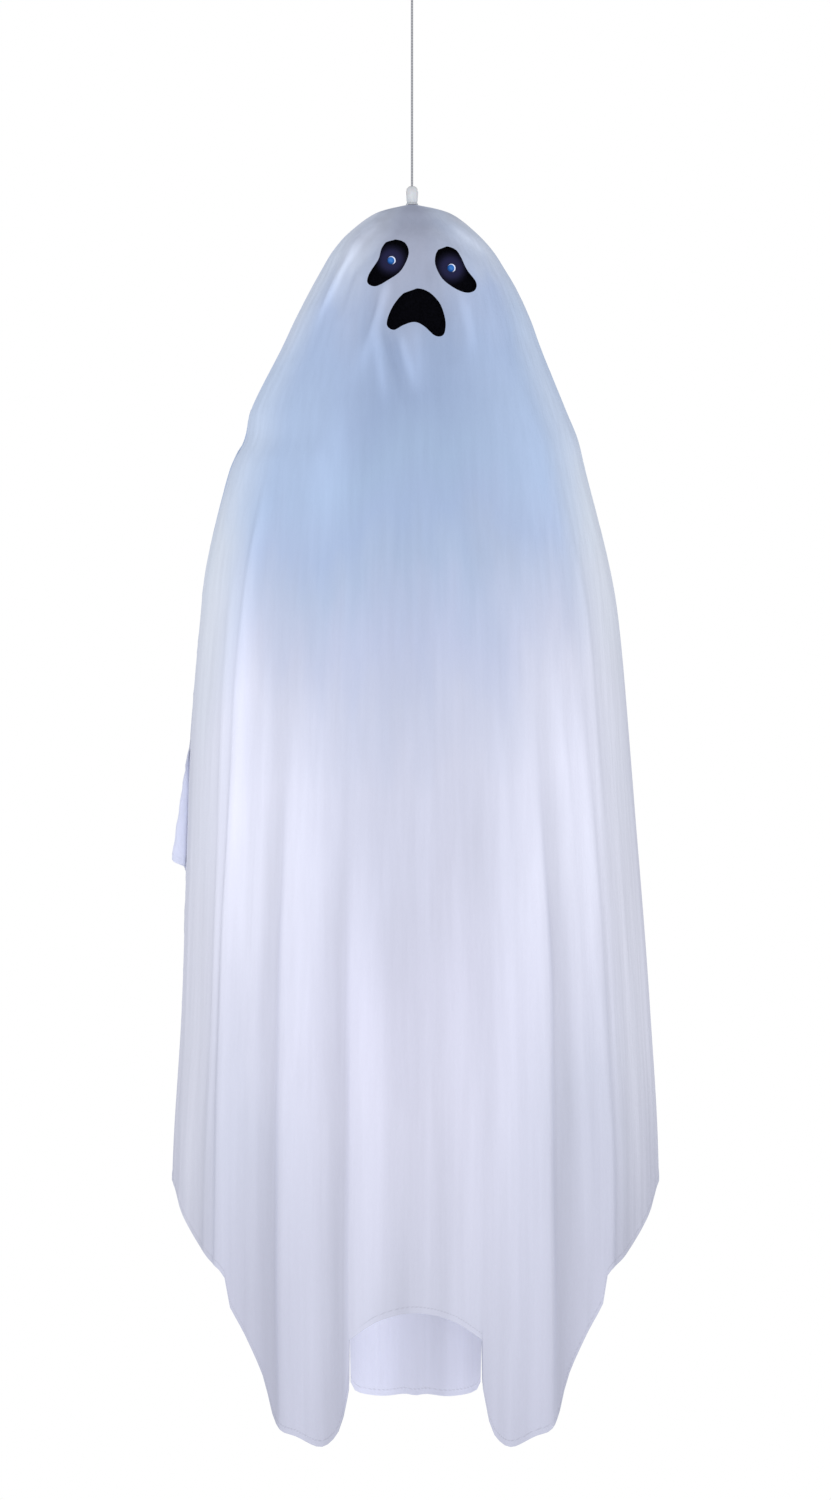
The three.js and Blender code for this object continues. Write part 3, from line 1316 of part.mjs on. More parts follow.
  // Battery door: a plate over the back wall, with a hinge barrel between the lugs
  const doorInside = halfDepth + TOUCH;
  const doorOutside = doorInside + DOOR;
  const doorHalf = bayHalf + DOOR_LAP;
  const barrelHalf = lugInner - RUNNING;
  const door = cut(
    join(
      block([-doorHalf, doorInside, shelfTop - DOOR_LAP + 2 * TOUCH], [doorHalf, doorOutside, doorTop]),
      block([-barrelHalf, doorInside, hingeZ], [barrelHalf, doorOutside, shelfTop]),
      rod(DOOR_BARREL, [-barrelHalf, hingeY, hingeZ], [barrelHalf, hingeY, hingeZ]),
    ),
    rod(DOOR_PIN + 2 * RUNNING, [-doorHalf, hingeY, hingeZ], [doorHalf, hingeY, hingeZ]),
    doorScrewHole(SCREW + 2 * TOUCH, halfDepth, doorOutside + OVERRUN),
  );
  piece(group, "battery_door", door, FINISH.greyAbs);
  const seat = [0, doorOutside + TOUCH, doorScrewZ];
  const doorScrew = screw(seat, [0, -1, 0], SCREW, SCREW_HEAD, SCREW_HEAD_HEIGHT, DOOR_SCREW_LENGTH);
  piece(group, "door_screw", doorScrew, FINISH.steel);
  const pinReach = lugInner + LUG;
  const doorPin = rod(DOOR_PIN, [-pinReach, hingeY, hingeZ], [pinReach, hingeY, hingeZ]);
  piece(group, "door_pin", doorPin, FINISH.steel);
}

const ghost = new THREE.Group();
addHangingLine(ghost);

const body = new THREE.Group();
body.position.z = crown;
ghost.add(body);
addDrive(body);
addShroud(body);
addHead(body);
addFrame(body);

const chestLight = new THREE.Group();
chestLight.position.z = -lightDrop;
body.add(chestLight);
addChestLight(chestLight);

const controlBox = new THREE.Group();
controlBox.position.z = -boxDrop;
body.add(controlBox);
addControlBox(controlBox);

export default ghost;
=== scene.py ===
"""The animated hanging ghost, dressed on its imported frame: cloth, face, lights and fittings."""
import bisect
import functools
import json
import math

import bmesh
import bpy
from mathutils import Matrix, Vector, noise


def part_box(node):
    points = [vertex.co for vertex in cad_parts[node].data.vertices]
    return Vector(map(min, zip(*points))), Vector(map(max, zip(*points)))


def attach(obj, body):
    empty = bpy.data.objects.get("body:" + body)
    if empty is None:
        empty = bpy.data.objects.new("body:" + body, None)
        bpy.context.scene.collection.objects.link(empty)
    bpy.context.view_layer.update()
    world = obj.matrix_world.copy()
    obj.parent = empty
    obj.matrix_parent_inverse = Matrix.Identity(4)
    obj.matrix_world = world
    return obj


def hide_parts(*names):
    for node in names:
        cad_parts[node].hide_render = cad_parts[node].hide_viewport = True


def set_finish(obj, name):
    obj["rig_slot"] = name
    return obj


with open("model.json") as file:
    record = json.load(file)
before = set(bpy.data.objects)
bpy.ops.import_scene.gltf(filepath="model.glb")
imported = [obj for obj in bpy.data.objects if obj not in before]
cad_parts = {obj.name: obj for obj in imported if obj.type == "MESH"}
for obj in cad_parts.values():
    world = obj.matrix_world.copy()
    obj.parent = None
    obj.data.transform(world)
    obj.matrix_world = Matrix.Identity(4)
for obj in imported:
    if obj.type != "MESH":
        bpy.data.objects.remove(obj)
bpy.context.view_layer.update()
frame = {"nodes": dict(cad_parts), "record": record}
nodes = frame["nodes"]

MM = 0.001

# Heights in millimetres. Drops are counted down from the cloth's top edge.
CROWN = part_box("shroud_front")[1][2] / MM
FERRULE_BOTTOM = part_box("crown_ferrule")[0][2] / MM

# The cloth's form: drop, half width on the ghost's right and left, half depth
STATIONS = [
    (0, 5.7, 5.7, 5.7),
    (8, 38, 40, 33),
    (18, 57, 59, 50),
    (38, 81, 82, 74),
    (58, 98, 100, 89),
    (78, 110, 113, 98),
    (105, 125, 129, 106),
    (142, 144, 146, 113),
    (178, 161, 159, 118),
    (252, 198, 189, 127),
    (289, 205, 204, 131),
    (326, 223, 213, 134),
    (437, 251, 241, 142),
    (511, 260, 254, 147),
    (659, 272, 268, 155),
    (843, 279, 283, 166),
    (991, 284, 293, 174),
    (1201, 294, 303, 185),
    (1530, 292, 300, 185),
]

# Hanging folds: angle round from the front, height, half width on its outer and on its inner side in
# degrees, and the drops at which it starts and is full
FOLDS = [
    (-50, 11, 4, 8, 430, 900),
    (-31, 11, 2.6, 8, 520, 980),
    (-14, 9, 2, 9, 640, 1050),
    (12, 5, 8, 8, 600, 1050),
    (32, 11, 2.6, 8, 520, 980),
    (50, 10, 3.4, 7, 430, 900),
    (118, 9, 6, 9, 460, 950),
    (142, 9, 4, 8, 460, 950),
    (165, 10, 5, 8, 460, 950),
    (190, 8, 8, 5, 460, 950),
    (214, 10, 8, 4, 460, 950),
    (240, 9, 8, 6, 460, 950),
    (-50, 4, 1.8, 2.6, 300, 420),
    (-57, 3, 2, 3, 380, 540),
    (-40, 3, 3, 2, 500, 700),
    (-23, 2.5, 2, 3, 560, 820),
    (3, 2, 2, 3, 600, 850),
    (23, 3, 2, 4, 560, 780),
    (42, 3.5, 2, 3, 500, 700),
    (56, 3, 3, 2, 400, 560),
]

# Folds that the cloth's pull makes round the face: both ends as X and drop, height, half width
PULLS = [
    ((-62, 50), (-108, 134), 4.2, 5),
    ((-22, 36), (-72, 88), -3.2, 8),
    ((-72, 84), (-88, 134), -4.2, 6),
    ((-38, 24), (-76, 62), 3.0, 7),
    ((-86, 62), (-122, 120), -1.8, 8),
    ((-29, 106), (-44, 154), 3.2, 6),
    ((-44, 152), (-62, 212), 1.6, 8),
    ((-46, 124), (-58, 170), -2.8, 6),
    ((-28, 165), (-12, 234), -4.2, 5.0),
    ((-42, 165), (-34, 240), 2.6, 6),
    ((-12, 170), (2, 226), 2.6, 5.5),
    ((4, 160), (10, 230), 1.8, 9),
    ((42, 118), (53, 160), -3.2, 8),
    ((53, 158), (48, 196), -2.4, 10),
    ((60, 120), (74, 184), 2.0, 9),
    ((48, 30), (84, 58), 2.8, 7),
    ((38, 40), (76, 68), -2.2, 7),
    ((23, 72), (22, 98), -2.0, 6),
    ((4, 14), (8, 40), -1.8, 16),
]
PULLS_END = 260

# Where they begin, as the cosine of the angle round from the front and as a drop, the shares of their
# length over which they grow and die away, and how much more they count in the cloth's painted fold shade
PULLS_ROUND = (0.04, 0.4)
PULLS_BELOW = (2, 30)
PULL_GROWS = (-0.35, 0.25)
PULL_FADES = (1.4, 0.5)
PULL_PAINTED_SHADE = 2.4

# Broad hollows and swells of the cloth over the chest: angle, drop, height, half angle, half height
SWELLS = [
    (26, 372, -5.0, 9, 65),
    (-27, 335, 3.5, 8, 80),
    (-2, 520, -3.0, 7, 90),
    (47, 330, 2.5, 7, 120),
    (-52, 560, 3.0, 4, 90),
]

# How uneven the cloth hangs: the folds' sway in degrees, ripples that deepen downwards, and broad waves
SWAY = 1.4
RIPPLE = 0.5
RIPPLE_BELOW = 1.1
WAVE = 1.5

# How far the cloth stands off the head over the face, so that its folds clear the mesh, and over which
# drops and distances from its middle that begins and ends
FACE_PROUD = 2.4
FACE_TOP = (18, 44)
FACE_FOOT = (240, 180)
FACE_MIDDLE = 8
FACE_SIDES = (124, 92)

# The hem's line, as distance from its centre line and drop. Slits part each panel's middle from its
# sides. The rows below HEM_ROWS_FROM follow the hem, whose drop is found from a first guess.
HEM_CENTRE = 4.5
FRONT_SPLIT = 80.4
BACK_SPLIT = 82.2
FRONT_HEM_MIDDLE = [(0, 1348), (45, 1358), (80, 1381)]
FRONT_LOBE = [
    (81, 1440), (90, 1485), (103, 1505), (118, 1510), (144, 1498), (163, 1491), (173, 1472), (184, 1428),
    (206, 1379), (228, 1338), (232, 1308), (256, 1284), (284, 1240), (299, 1200), (330, 1160),
]
BACK_HEM_MIDDLE = [(0, 1484), (14, 1482), (40, 1485), (66, 1482), (79, 1475), (82, 1464)]
BACK_HEM_SIDE = [(82.4, 1400), (130, 1385), (190, 1345), (245, 1275), (299, 1192), (330, 1150)]
HEM_ROWS_FROM = 1110
HEM_ROWS = 56
HEM_GUESS = 1400

# The cape, a second layer over the back, between two angles. Its last corner flares out from the
# shroud, and it hangs loose, and flutters, away from its held side edges and its top edge.
CAPE_FROM = 105
CAPE_TO = 270
CAPE_TOP = 252
CAPE_SIDE_DROP = 806
CAPE_MIDDLE_DROP = 838
CAPE_LOOSE = 5
CAPE_FLUTTER = 2.5
CAPE_FLARE = 16
CAPE_FLARE_START = 655
CAPE_FLARE_FULL = 800
CAPE_FLARE_SPREAD = 5.0
CAPE_HELD = 18
CAPE_EDGE = 12
CAPE_GAP = 0.4
CAPE_SEAM_RISE = 50
CAPE_ROWS = 76
CAPE_RADIUS = 210

# Cut-outs as X and drop
RIGHT_EYE = [
    (-20, 49), (-8, 54), (-4, 68), (-13, 88), (-28, 99.5), (-44, 107.5),
    (-54, 103), (-52, 91.5), (-41, 74), (-37, 60), (-30, 51),
]
LEFT_EYE = [
    (42, 57.5), (53, 61), (59.5, 70), (67, 86), (78, 101), (77, 111),
    (68, 115), (55, 111.5), (38, 99.5), (29, 83), (28.5, 70), (33, 61),
]
MOUTH = [
    (6, 110.5), (20, 114.5), (32.5, 126.5), (38.5, 140), (41, 155), (38, 167.5), (28, 168.5), (14, 156.5),
    (3, 152), (-10, 155.5), (-22, 161.5), (-30.5, 155), (-27, 140), (-19, 126), (-8, 115),
]
CUT_FROM_Y = -160
CUT_TO_Y = -20

# The eye lights: side, X and drop, their depth and width, the room round them in the mesh, the distances
# between which the painted glow of their light on the mesh dies away, and how far the painted highlight
# crescent on them lies off centre
EYE_LIGHTS = [("right", -25, 75), ("left", 48, 84)]
EYE_LIGHT_Y = -90
EYE_LIGHT = 10
EYE_ROOM = 0.4
EYE_HOLE_DEPTH = 40
GLOW_FROM = 7
GLOW_TO = 24
PAINTED_HIGHLIGHT_OFFSET = (-1.0, -0.7)

# The mesh behind the face: thickness, depth behind the cloth, and the angles and drops that it spans
LINER = 0.6
LINER_DEPTH = 2.45
LINER_FROM = -44
LINER_TO = 58
LINER_TOP = 40
LINER_BOTTOM = 176
LINER_COLUMNS = 70
LINER_ROWS = 60
LINER_RADIUS = 110

# The cloth: thickness, spacing of its columns in degrees and of its rows, hem, side seams and slits, the
# drop at which its width is laid out in the UV maps, and what a degree from a side edge counts for there
CLOTH = 1.4
COLUMN = 1.25
ROW = 8.0
HEAD_ROWS_TO = 240
HEM = 9
HEM_PROUD = 0.5
STITCH_ROW = 7.5
STITCH = 4
SEAM = 3
SEAM_DEPTH = 1.2
# The fold height over which the painted fold shade goes from darkest to lightest
FOLD_RANGE = 14
SLIT_TOP = 1240
SLIT_BLEND = 90
SLIT_AIM = 150
SPAN_DROP = 1100
SLIT_SPREAD = 9
SLIT_GAP = 0.6
EDGE_PER_DEGREE = 0.004


def smooth_table(stations, steps=24):
    """Closely spaced stations on a smooth curve through the given ones, each with its arc length."""
    knots = [0.0]
    for one, two in zip(stations, stations[1:]):
        knots.append(knots[-1] + math.sqrt(math.hypot(two[0] - one[0], two[1] - one[1])))
    table = []
    for i in range(len(stations) - 1):
        before = max(i - 1, 0)
        after = min(i + 2, len(stations) - 1)
        for k in range(steps):
            t = k / steps
            span = knots[i + 1] - knots[i]
            values = []
            for a, b, low, high in zip(stations[i], stations[i + 1], stations[before], stations[after]):
                start = (b - low) / (knots[i + 1] - knots[before]) * span
                end = (high - a) / (knots[after] - knots[i]) * span
                values.append(
                    (2 * t**3 - 3 * t**2 + 1) * a
                    + (t**3 - 2 * t**2 + t) * start
                    + (3 * t**2 - 2 * t**3) * b
                    + (t**3 - t**2) * end
                )
            table.append(values)
    table.append(list(map(float, stations[-1])))
    arcs = [0.0]
    for one, two in zip(table, table[1:]):
        arcs.append(arcs[-1] + math.hypot(two[0] - one[0], (two[1] - one[1] + two[2] - one[2]) / 2))
    return arcs, table


ARCS, TABLE = smooth_table(STATIONS)
DROPS = [row[0] for row in TABLE]


def looked_up(keys, value):
    """The row of the form's table at a value of the given keys."""
    i = min(max(bisect.bisect_right(keys, value) - 1, 0), len(keys) - 2)
    share = (value - keys[i]) / (keys[i + 1] - keys[i])
    return [a + (b - a) * share for a, b in zip(TABLE[i], TABLE[i + 1])]


def smoothstep(start, end, value):
    t = min(max((value - start) / (end - start), 0.0), 1.0)
    return t * t * (3 - 2 * t)


def bell(value):
    return math.exp(-value * value)


def fold_height(angle, drop):
    """How far the hanging folds stand out at an angle and a drop."""
    sway = SWAY * noise.noise(Vector((drop / 260, angle / 25, 3.1)))
    total = 0.0
    for ridge, high, outer, inner, start, full in FOLDS:
        away = (angle + sway - ridge + 180) % 360 - 180
        facing_out = away * (1 if ridge % 360 < 180 else -1) > 0
        width = outer if facing_out else inner
        total += high * bell(away / width) * smoothstep(start, full, drop)
    ripple = noise.noise(Vector((angle / 2.6, drop / 420, 7.7)))
    broad = noise.noise(Vector((angle / 11, drop / 300, 1.3)))
    for middle, level, high, wide, tall in SWELLS:
        total += high * bell((angle - middle) / wide) * bell((drop - level) / tall)
    total += ripple * (RIPPLE + RIPPLE_BELOW * smoothstep(400, 1300, drop))
    return total + WAVE * broad * smoothstep(120, 500, drop)


def pull_height(x, drop):
    """The folds that the cloth's pull makes round the face, at an X and a drop."""
    if drop > PULLS_END:
        return 0.0
    total = 0.0
    for (x0, d0), (x1, d1), high, wide in PULLS:
        run = Vector((x1 - x0, d1 - d0))
        there = Vector((x - x0, drop - d0))
        along = there.dot(run) / run.length_squared
        if not PULL_GROWS[0] < along < PULL_FADES[0]:
            continue
        across = abs(there.x * run.y - there.y * run.x) / run.length
        fade = smoothstep(*PULL_GROWS, along) * smoothstep(*PULL_FADES, along)
        total += high * bell(across / wide) * fade
    return total


def face_lift(x, drop):
    """How far the cloth stands off the head over the face, at an X and a drop."""
    beside = smoothstep(*FACE_SIDES, abs(x - FACE_MIDDLE))
    return FACE_PROUD * smoothstep(*FACE_TOP, drop) * smoothstep(*FACE_FOOT, drop) * beside


def around(angle, drop):
    """The X and Y of the cloth's plain form at an angle and a drop, in millimetres."""
    _, right, left, depth = looked_up(DROPS, drop)
    turn = math.radians(angle)
    return (right if math.sin(turn) < 0 else left) * math.sin(turn), -depth * math.cos(turn)


def form_point(angle, drop, proud):
    """A point at a distance from the cloth's plain form, in metres."""
    x, y = around(angle, drop)
    scale = 1 + proud / math.hypot(x, y)
    return Vector((x * scale, y * scale, CROWN - drop)) * MM


def cloth_point(angle, drop, proud=0.0):
    """A point of the cloth's outer face, in metres."""
    x, y = around(angle, drop)
    reach = math.hypot(x, y)
    out = fold_height(angle, drop) + proud
    if y < 0:
        facing = smoothstep(*PULLS_ROUND, math.cos(math.radians(angle)))
        facing *= smoothstep(*PULLS_BELOW, drop)
        out += (pull_height(x, drop) + face_lift(x, drop)) * facing
    to_seam = min(abs(angle - 90), abs(angle + 90), abs(angle - 270)) * math.radians(1) * reach
    pucker = 0.5 + noise.noise(Vector((drop / 9, angle / 200, 2.2)))
    out -= SEAM_DEPTH * bell(to_seam / SEAM) * pucker * smoothstep(20, 120, drop)
    scale = (reach + out * smoothstep(0, 25, drop)) / reach
    return Vector((x * scale, y * scale, CROWN - drop)) * MM


def painted_fold_shade(angle, drop):
    """How high on a fold a point lies, from 0 in a valley to 1 on a ridge. The cloth's colour takes it as
    painted shade in the valleys and a painted highlight on the ridges.
    """
    x, y = around(angle, drop)
    pulled = pull_height(x, drop) * PULL_PAINTED_SHADE if y < 0 else 0
    return min(max(0.5 + (fold_height(angle, drop) + pulled - 3) / FOLD_RANGE, 0.0), 1.0)


def spline(points, steps=8):
    """A smooth open line through the given points."""
    line = []
    for i in range(len(points) - 1):
        p0 = points[max(i - 1, 0)]
        p3 = points[min(i + 2, len(points) - 1)]
        for k in range(steps):
            t = k / steps
            place = []
            for a, b, c, d in zip(p0, points[i], points[i + 1], p3):
                square = 2 * a - 5 * b + 4 * c - d
                cube = 3 * b - a - 3 * c + d
                place.append(0.5 * (2 * b + (c - a) * t + square * t**2 + cube * t**3))
            line.append(tuple(place))
    line.append(tuple(map(float, points[-1])))
    return line


def closed_spline(points, steps=8):
    """A closed line through the given points. Its last span, back to the first point, is straight."""
    looped = points[-2:] + points + points[:2]
    return spline(looped, steps)[2 * steps:(len(points) + 1) * steps]


def hem_line(middle, side):
    """The hem's drop as a function of the distance from its centre line."""
    mirrored = [(-x, drop) for x, drop in reversed(middle[1:])] + middle
    inner = [point for point in spline(mirrored) if point[0] >= 0]
    outer = spline(side)
    split = side[0][0]

    def drop_at(distance):
        line = inner if distance < split - 0.2 else outer
        xs = [point[0] for point in line]
        i = min(max(bisect.bisect_right(xs, distance) - 1, 0), len(xs) - 2)
        share = (distance - xs[i]) / max(xs[i + 1] - xs[i], 1e-6)
        share = min(max(share, 0.0), 1.0)
        return line[i][1] + (line[i + 1][1] - line[i][1]) * share

    return drop_at


@functools.cache
def angle_at(x, drop, back):
    """The angle at which the cloth passes an X at a drop, on the front or on the back."""
    _, right, left, _ = looked_up(DROPS, drop)
    angle = math.degrees(math.asin(x / (right if x < 0 else left)))
    angle = 180 - angle if back else angle
    for _ in range(6):
        here = cloth_point(angle, drop).x / MM
        slope = cloth_point(angle + 0.2, drop).x / MM - here
        angle += 0.2 * (x - here) / slope
    return angle


def column_angles(start, end, slits):
    """Columns of a panel, with one close on each side of every slit."""
    count = round((end - start) / COLUMN)
    angles = [start + (end - start) * i / count for i in range(count + 1)]
    for slit in slits:
        angles = [a for a in angles if abs(a - slit) > 0.5 * COLUMN] + [slit - 0.1, slit + 0.1]
    return sorted(angles)


def shifted(angle, drop, slits, back):
    """A column's angle at a drop, moved so that the slits' edges hang straight down."""
    share = smoothstep(SLIT_TOP, SLIT_TOP + SLIT_BLEND, drop)
    if share == 0:
        return angle
    for slit, x in slits:
        angle += (angle_at(x, drop, back) - slit) * bell((angle - slit) / SLIT_SPREAD) * share
    return angle


def linked(name, data):
    """A new object for a mesh, a lamp or a camera."""
    piece = bpy.data.objects.new(name, data)
    bpy.context.collection.objects.link(piece)
    return piece


def mesh_piece(name, verts, faces, maps):
    """A piece made of points and faces, with UV maps given as a pair of values for each point."""
    mesh = bpy.data.meshes.new(name)
    mesh.from_pydata(verts, [], faces)
    for title, values in maps.items():
        uv = mesh.uv_layers.new(name=title)
        for loop in mesh.loops:
            uv.data[loop.index].uv = values[loop.vertex_index]
    mesh.update()
    return linked(name, mesh)


def grid_piece(name, columns, maps):
    """A one-sided cloth grid of columns of points."""
    rows = len(columns[0])
    faces = []
    for i in range(len(columns) - 1):
        for a in range(i * rows, (i + 1) * rows - 1):
            faces.append((a, a + 1, a + rows + 1, a + rows))
    return mesh_piece(name, [point for column in columns for point in column], faces, maps)


def lay(maps, column, angle, drop, proud, span, hem, to_edge):
    """Adds a point of cloth to a column, and its values to the UV maps."""
    column.append(cloth_point(angle, drop, proud + HEM_PROUD * smoothstep(HEM + 3, HEM, hem - drop)))
    maps["Weave"].append((span, -column[-1].z))
    # The Shade map: where a point lies across the ghost, and how high on a fold, for the cloth's painted
    # light
    maps["Shade"].append((0.5 + 0.5 * math.sin(math.radians(angle)), painted_fold_shade(angle, drop)))
    maps["Hem"].append(((hem - drop) * MM, to_edge * EDGE_PER_DEGREE))


def select_only(piece):
    bpy.ops.object.select_all(action="DESELECT")
    piece.select_set(True)
    bpy.context.view_layer.objects.active = piece


def outwards(piece):
    """Turns a piece's faces outwards."""
    select_only(piece)
    bpy.ops.object.mode_set(mode="EDIT")
    bpy.ops.mesh.select_all(action="SELECT")
    bpy.ops.mesh.normals_make_consistent(inside=False)
    bpy.ops.object.mode_set(mode="OBJECT")


def apply_modifier(piece, kind, **settings):
    """Adds a modifier and applies it."""
    select_only(piece)
    modifier = piece.modifiers.new(kind.title(), kind)
    for name, value in settings.items():
        setattr(modifier, name, value)
    bpy.ops.object.modifier_apply(modifier=modifier.name)


def smooth(piece, angle=40):
    select_only(piece)
    bpy.ops.object.shade_smooth_by_angle(angle=math.radians(angle))
    return piece


def thicken(piece, thickness):
    """Gives a one-sided piece a wall, inwards from its outer face."""
    apply_modifier(piece, "SOLIDIFY", thickness=thickness * MM, offset=-1)
    smooth(piece, 50)


def cutter(name, outline):
    """A prism along Y with the given outline of X and drop."""
    points = closed_spline(outline)
    verts = [Vector((x, y, CROWN - drop)) * MM for y in (CUT_FROM_Y, CUT_TO_Y) for x, drop in points]
    count = len(points)
    faces = [list(range(count)), list(range(count, 2 * count))]
    faces += [(i, (i + 1) % count, count + (i + 1) % count, count + i) for i in range(count)]
    piece = mesh_piece(name, verts, faces, {})
    outwards(piece)
    return piece


def cut_with(piece, tools):
    """Cuts the tools' shapes out of a piece and removes the tools."""
    for tool in tools:
        apply_modifier(piece, "BOOLEAN", operation="DIFFERENCE", solver="EXACT", object=tool)
        bpy.data.objects.remove(tool, do_unlink=True)


def eased(piece, width):
    """Rounds a piece's edges by a width in millimetres."""
    apply_modifier(
        piece, "BEVEL", width=width * MM, segments=2, limit_method="ANGLE", angle_limit=math.radians(30),
    )
    return smooth(piece)


def placed(piece, name):
    """Names a piece and moves its place into its mesh, with its faces outwards."""
    piece.name = name
    piece.data.name = name
    select_only(piece)
    bpy.ops.object.transform_apply(location=True, rotation=True, scale=True)
    outwards(piece)
    return piece


def turned(name, profile, sides=48, at=(0, 0, 0), tilt=(0, 0, 0), hollow=False):
    """A round piece: a circle at the profile's first radius and height, extruded and resized through
    the rest. A hollow one's profile goes all the way round its wall."""
    radius, height = profile[0]
    bpy.ops.mesh.primitive_circle_add(
        vertices=sides, radius=radius * MM, fill_type="NOTHING" if hollow else "NGON", location=(0, 0, 0),
    )
    piece = bpy.context.active_object
    bpy.ops.object.mode_set(mode="EDIT")
    bpy.ops.transform.translate(value=(0, 0, height * MM))
    for (r0, z0), (r1, z1) in zip(profile, profile[1:]):
        bpy.ops.mesh.extrude_region_move(TRANSFORM_OT_translate={"value": (0, 0, (z1 - z0) * MM)})
        bpy.ops.transform.resize(value=(r1 / r0, r1 / r0, 1), center_override=(0, 0, z1 * MM))
    if hollow:
        bpy.ops.mesh.select_all(action="SELECT")
        bpy.ops.mesh.select_non_manifold(extend=False)
        bpy.ops.mesh.bridge_edge_loops()
    bpy.ops.object.mode_set(mode="OBJECT")
    piece.rotation_euler = [math.radians(value) for value in tilt]
    piece.location = Vector(at) * MM
    return smooth(placed(piece, name))


def boxed(name, low, high):
    """A box between two corners, ready to be shaped."""
    middle = [(a + b) / 2 * MM for a, b in zip(low, high)]
    size = [(b - a) * MM for a, b in zip(low, high)]
    bpy.ops.mesh.primitive_cube_add(size=1, location=middle, scale=size)
    return placed(bpy.context.active_object, name)


def tube(name, points, radius_at, sides, lengthways):
    """A closed tube through points in metres, with a UV map of the share round it and the way along."""
    verts = []
    values = []
    along = [0.0]
    for one, two in zip(points, points[1:]):
        along.append(along[-1] + (two - one).length)
    across = Vector((0, 1, 0))
    for i, point in enumerate(points):
        ahead = (points[min(i + 1, len(points) - 1)] - points[max(i - 1, 0)]).normalized()
        out = ahead.cross(across).normalized()
        for k in range(sides):
            turn = 2 * math.pi * k / sides
            radius = radius_at(turn, along[i])
            verts.append(point + (out * math.cos(turn) + across * math.sin(turn)) * radius)
            values.append((k / sides, along[i]))
    faces = []
    for i in range(len(points) - 1):
        for k in range(sides):
            a = i * sides + k
            b = i * sides + (k + 1) % sides
            faces.append((a, b, b + sides, a + sides))
    last = (len(points) - 1) * sides
    faces += [list(range(sides))[::-1], [last + k for k in range(sides)]]
    piece = mesh_piece(name, verts, faces, {lengthways: values})
    outwards(piece)
    return smooth(piece, 60)


def settle(piece, node, slot, body="ghost"):
    """Puts a piece in the place of a CAD node."""
    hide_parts(node)
    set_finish(piece, slot)
    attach(piece, body)


def main_rows():
    """Drops of the rows above the hem's own rows, close together over the head."""
    neck = ARCS[bisect.bisect_left(DROPS, HEAD_ROWS_TO)]
    end = ARCS[bisect.bisect_left(DROPS, HEM_ROWS_FROM)]
    close = round(2 * neck / ROW)
    wide = round((end - neck) / ROW)
    arcs = [neck * i / close for i in range(close)]
    arcs += [neck + (end - neck) * i / wide for i in range(wide + 1)]
    return [looked_up(ARCS, arc)[0] for arc in arcs]


def shroud_panel(name, start, end, drop_at, split, back):
    """One panel of the shroud, from one side seam to the other."""
    edges = [HEM_CENTRE - split, HEM_CENTRE + split]
    slits = [(angle_at(x, SLIT_TOP + SLIT_AIM, back), x) for x in edges]
    angles = column_angles(start, end, [angle for angle, _ in slits])
    upper = main_rows()
    span = 0.0
    widest = looked_up(DROPS, SPAN_DROP)
    columns = []
    maps = {"Weave": [], "Shade": [], "Hem": []}
    for i, angle in enumerate(angles):
        span += math.radians(angle - angles[max(i - 1, 0)]) * (widest[1] + widest[3]) / 2 * MM
        hem = HEM_GUESS
        for _ in range(12):
            x = cloth_point(shifted(angle, hem, slits, back), hem).x / MM
            if abs(angle - slits[0][0]) < 0.2 or abs(angle - slits[1][0]) < 0.2:
                reach = split + (SLIT_GAP if is_outside(angle, slits) else -SLIT_GAP)
                x = HEM_CENTRE + (reach if x > HEM_CENTRE else -reach)
            hem = drop_at(abs(x - HEM_CENTRE))
        lower = [upper[-1] + (hem - upper[-1]) * k / HEM_ROWS for k in range(1, HEM_ROWS + 1)]
        to_seam = abs(90 - abs((angle + 180) % 360 - 180))
        column = []
        for drop in upper + lower:
            lay(maps, column, shifted(angle, drop, slits, back), drop, 0, span, hem, to_seam)
        columns.append(column)
    return grid_piece(name, columns, maps)


def is_outside(angle, slits):
    """True for a column on the far side of a slit from the middle of the panel."""
    middle = (slits[0][0] + slits[1][0]) / 2
    return abs(angle - middle) > abs(slits[0][0] - middle)


def build_shroud():
    front = shroud_panel("front_panel", -90, 90, hem_line(FRONT_HEM_MIDDLE, FRONT_LOBE), FRONT_SPLIT, False)
    back = shroud_panel("back_panel", 90, 270, hem_line(BACK_HEM_MIDDLE, BACK_HEM_SIDE), BACK_SPLIT, True)
    for panel in (front, back):
        outwards(panel)
        fix_side(panel)
        thicken(panel, CLOTH)
    outlines = [RIGHT_EYE, LEFT_EYE, MOUTH]
    cut_with(front, [cutter("cut_" + str(i), outline) for i, outline in enumerate(outlines)])
    smooth(front, 50)
    settle(front, "shroud_front", "shroud_cloth")
    settle(back, "shroud_back", "shroud_cloth")
    return front, back


def fix_side(panel):
    """Turns an open panel over if its faces look at the cord's line instead of away from it."""
    total = 0.0
    for face in panel.data.polygons:
        total += face.normal.dot(Vector((face.center.x, face.center.y, 0))) * face.area
    if total < 0:
        panel.data.flip_normals()


def cape_hem(angle):
    share = (angle - CAPE_FROM) / (CAPE_TO - CAPE_FROM)
    dip = math.sqrt(max(math.sin(math.pi * share), 0.0))
    return CAPE_SIDE_DROP + (CAPE_MIDDLE_DROP - CAPE_SIDE_DROP) * dip


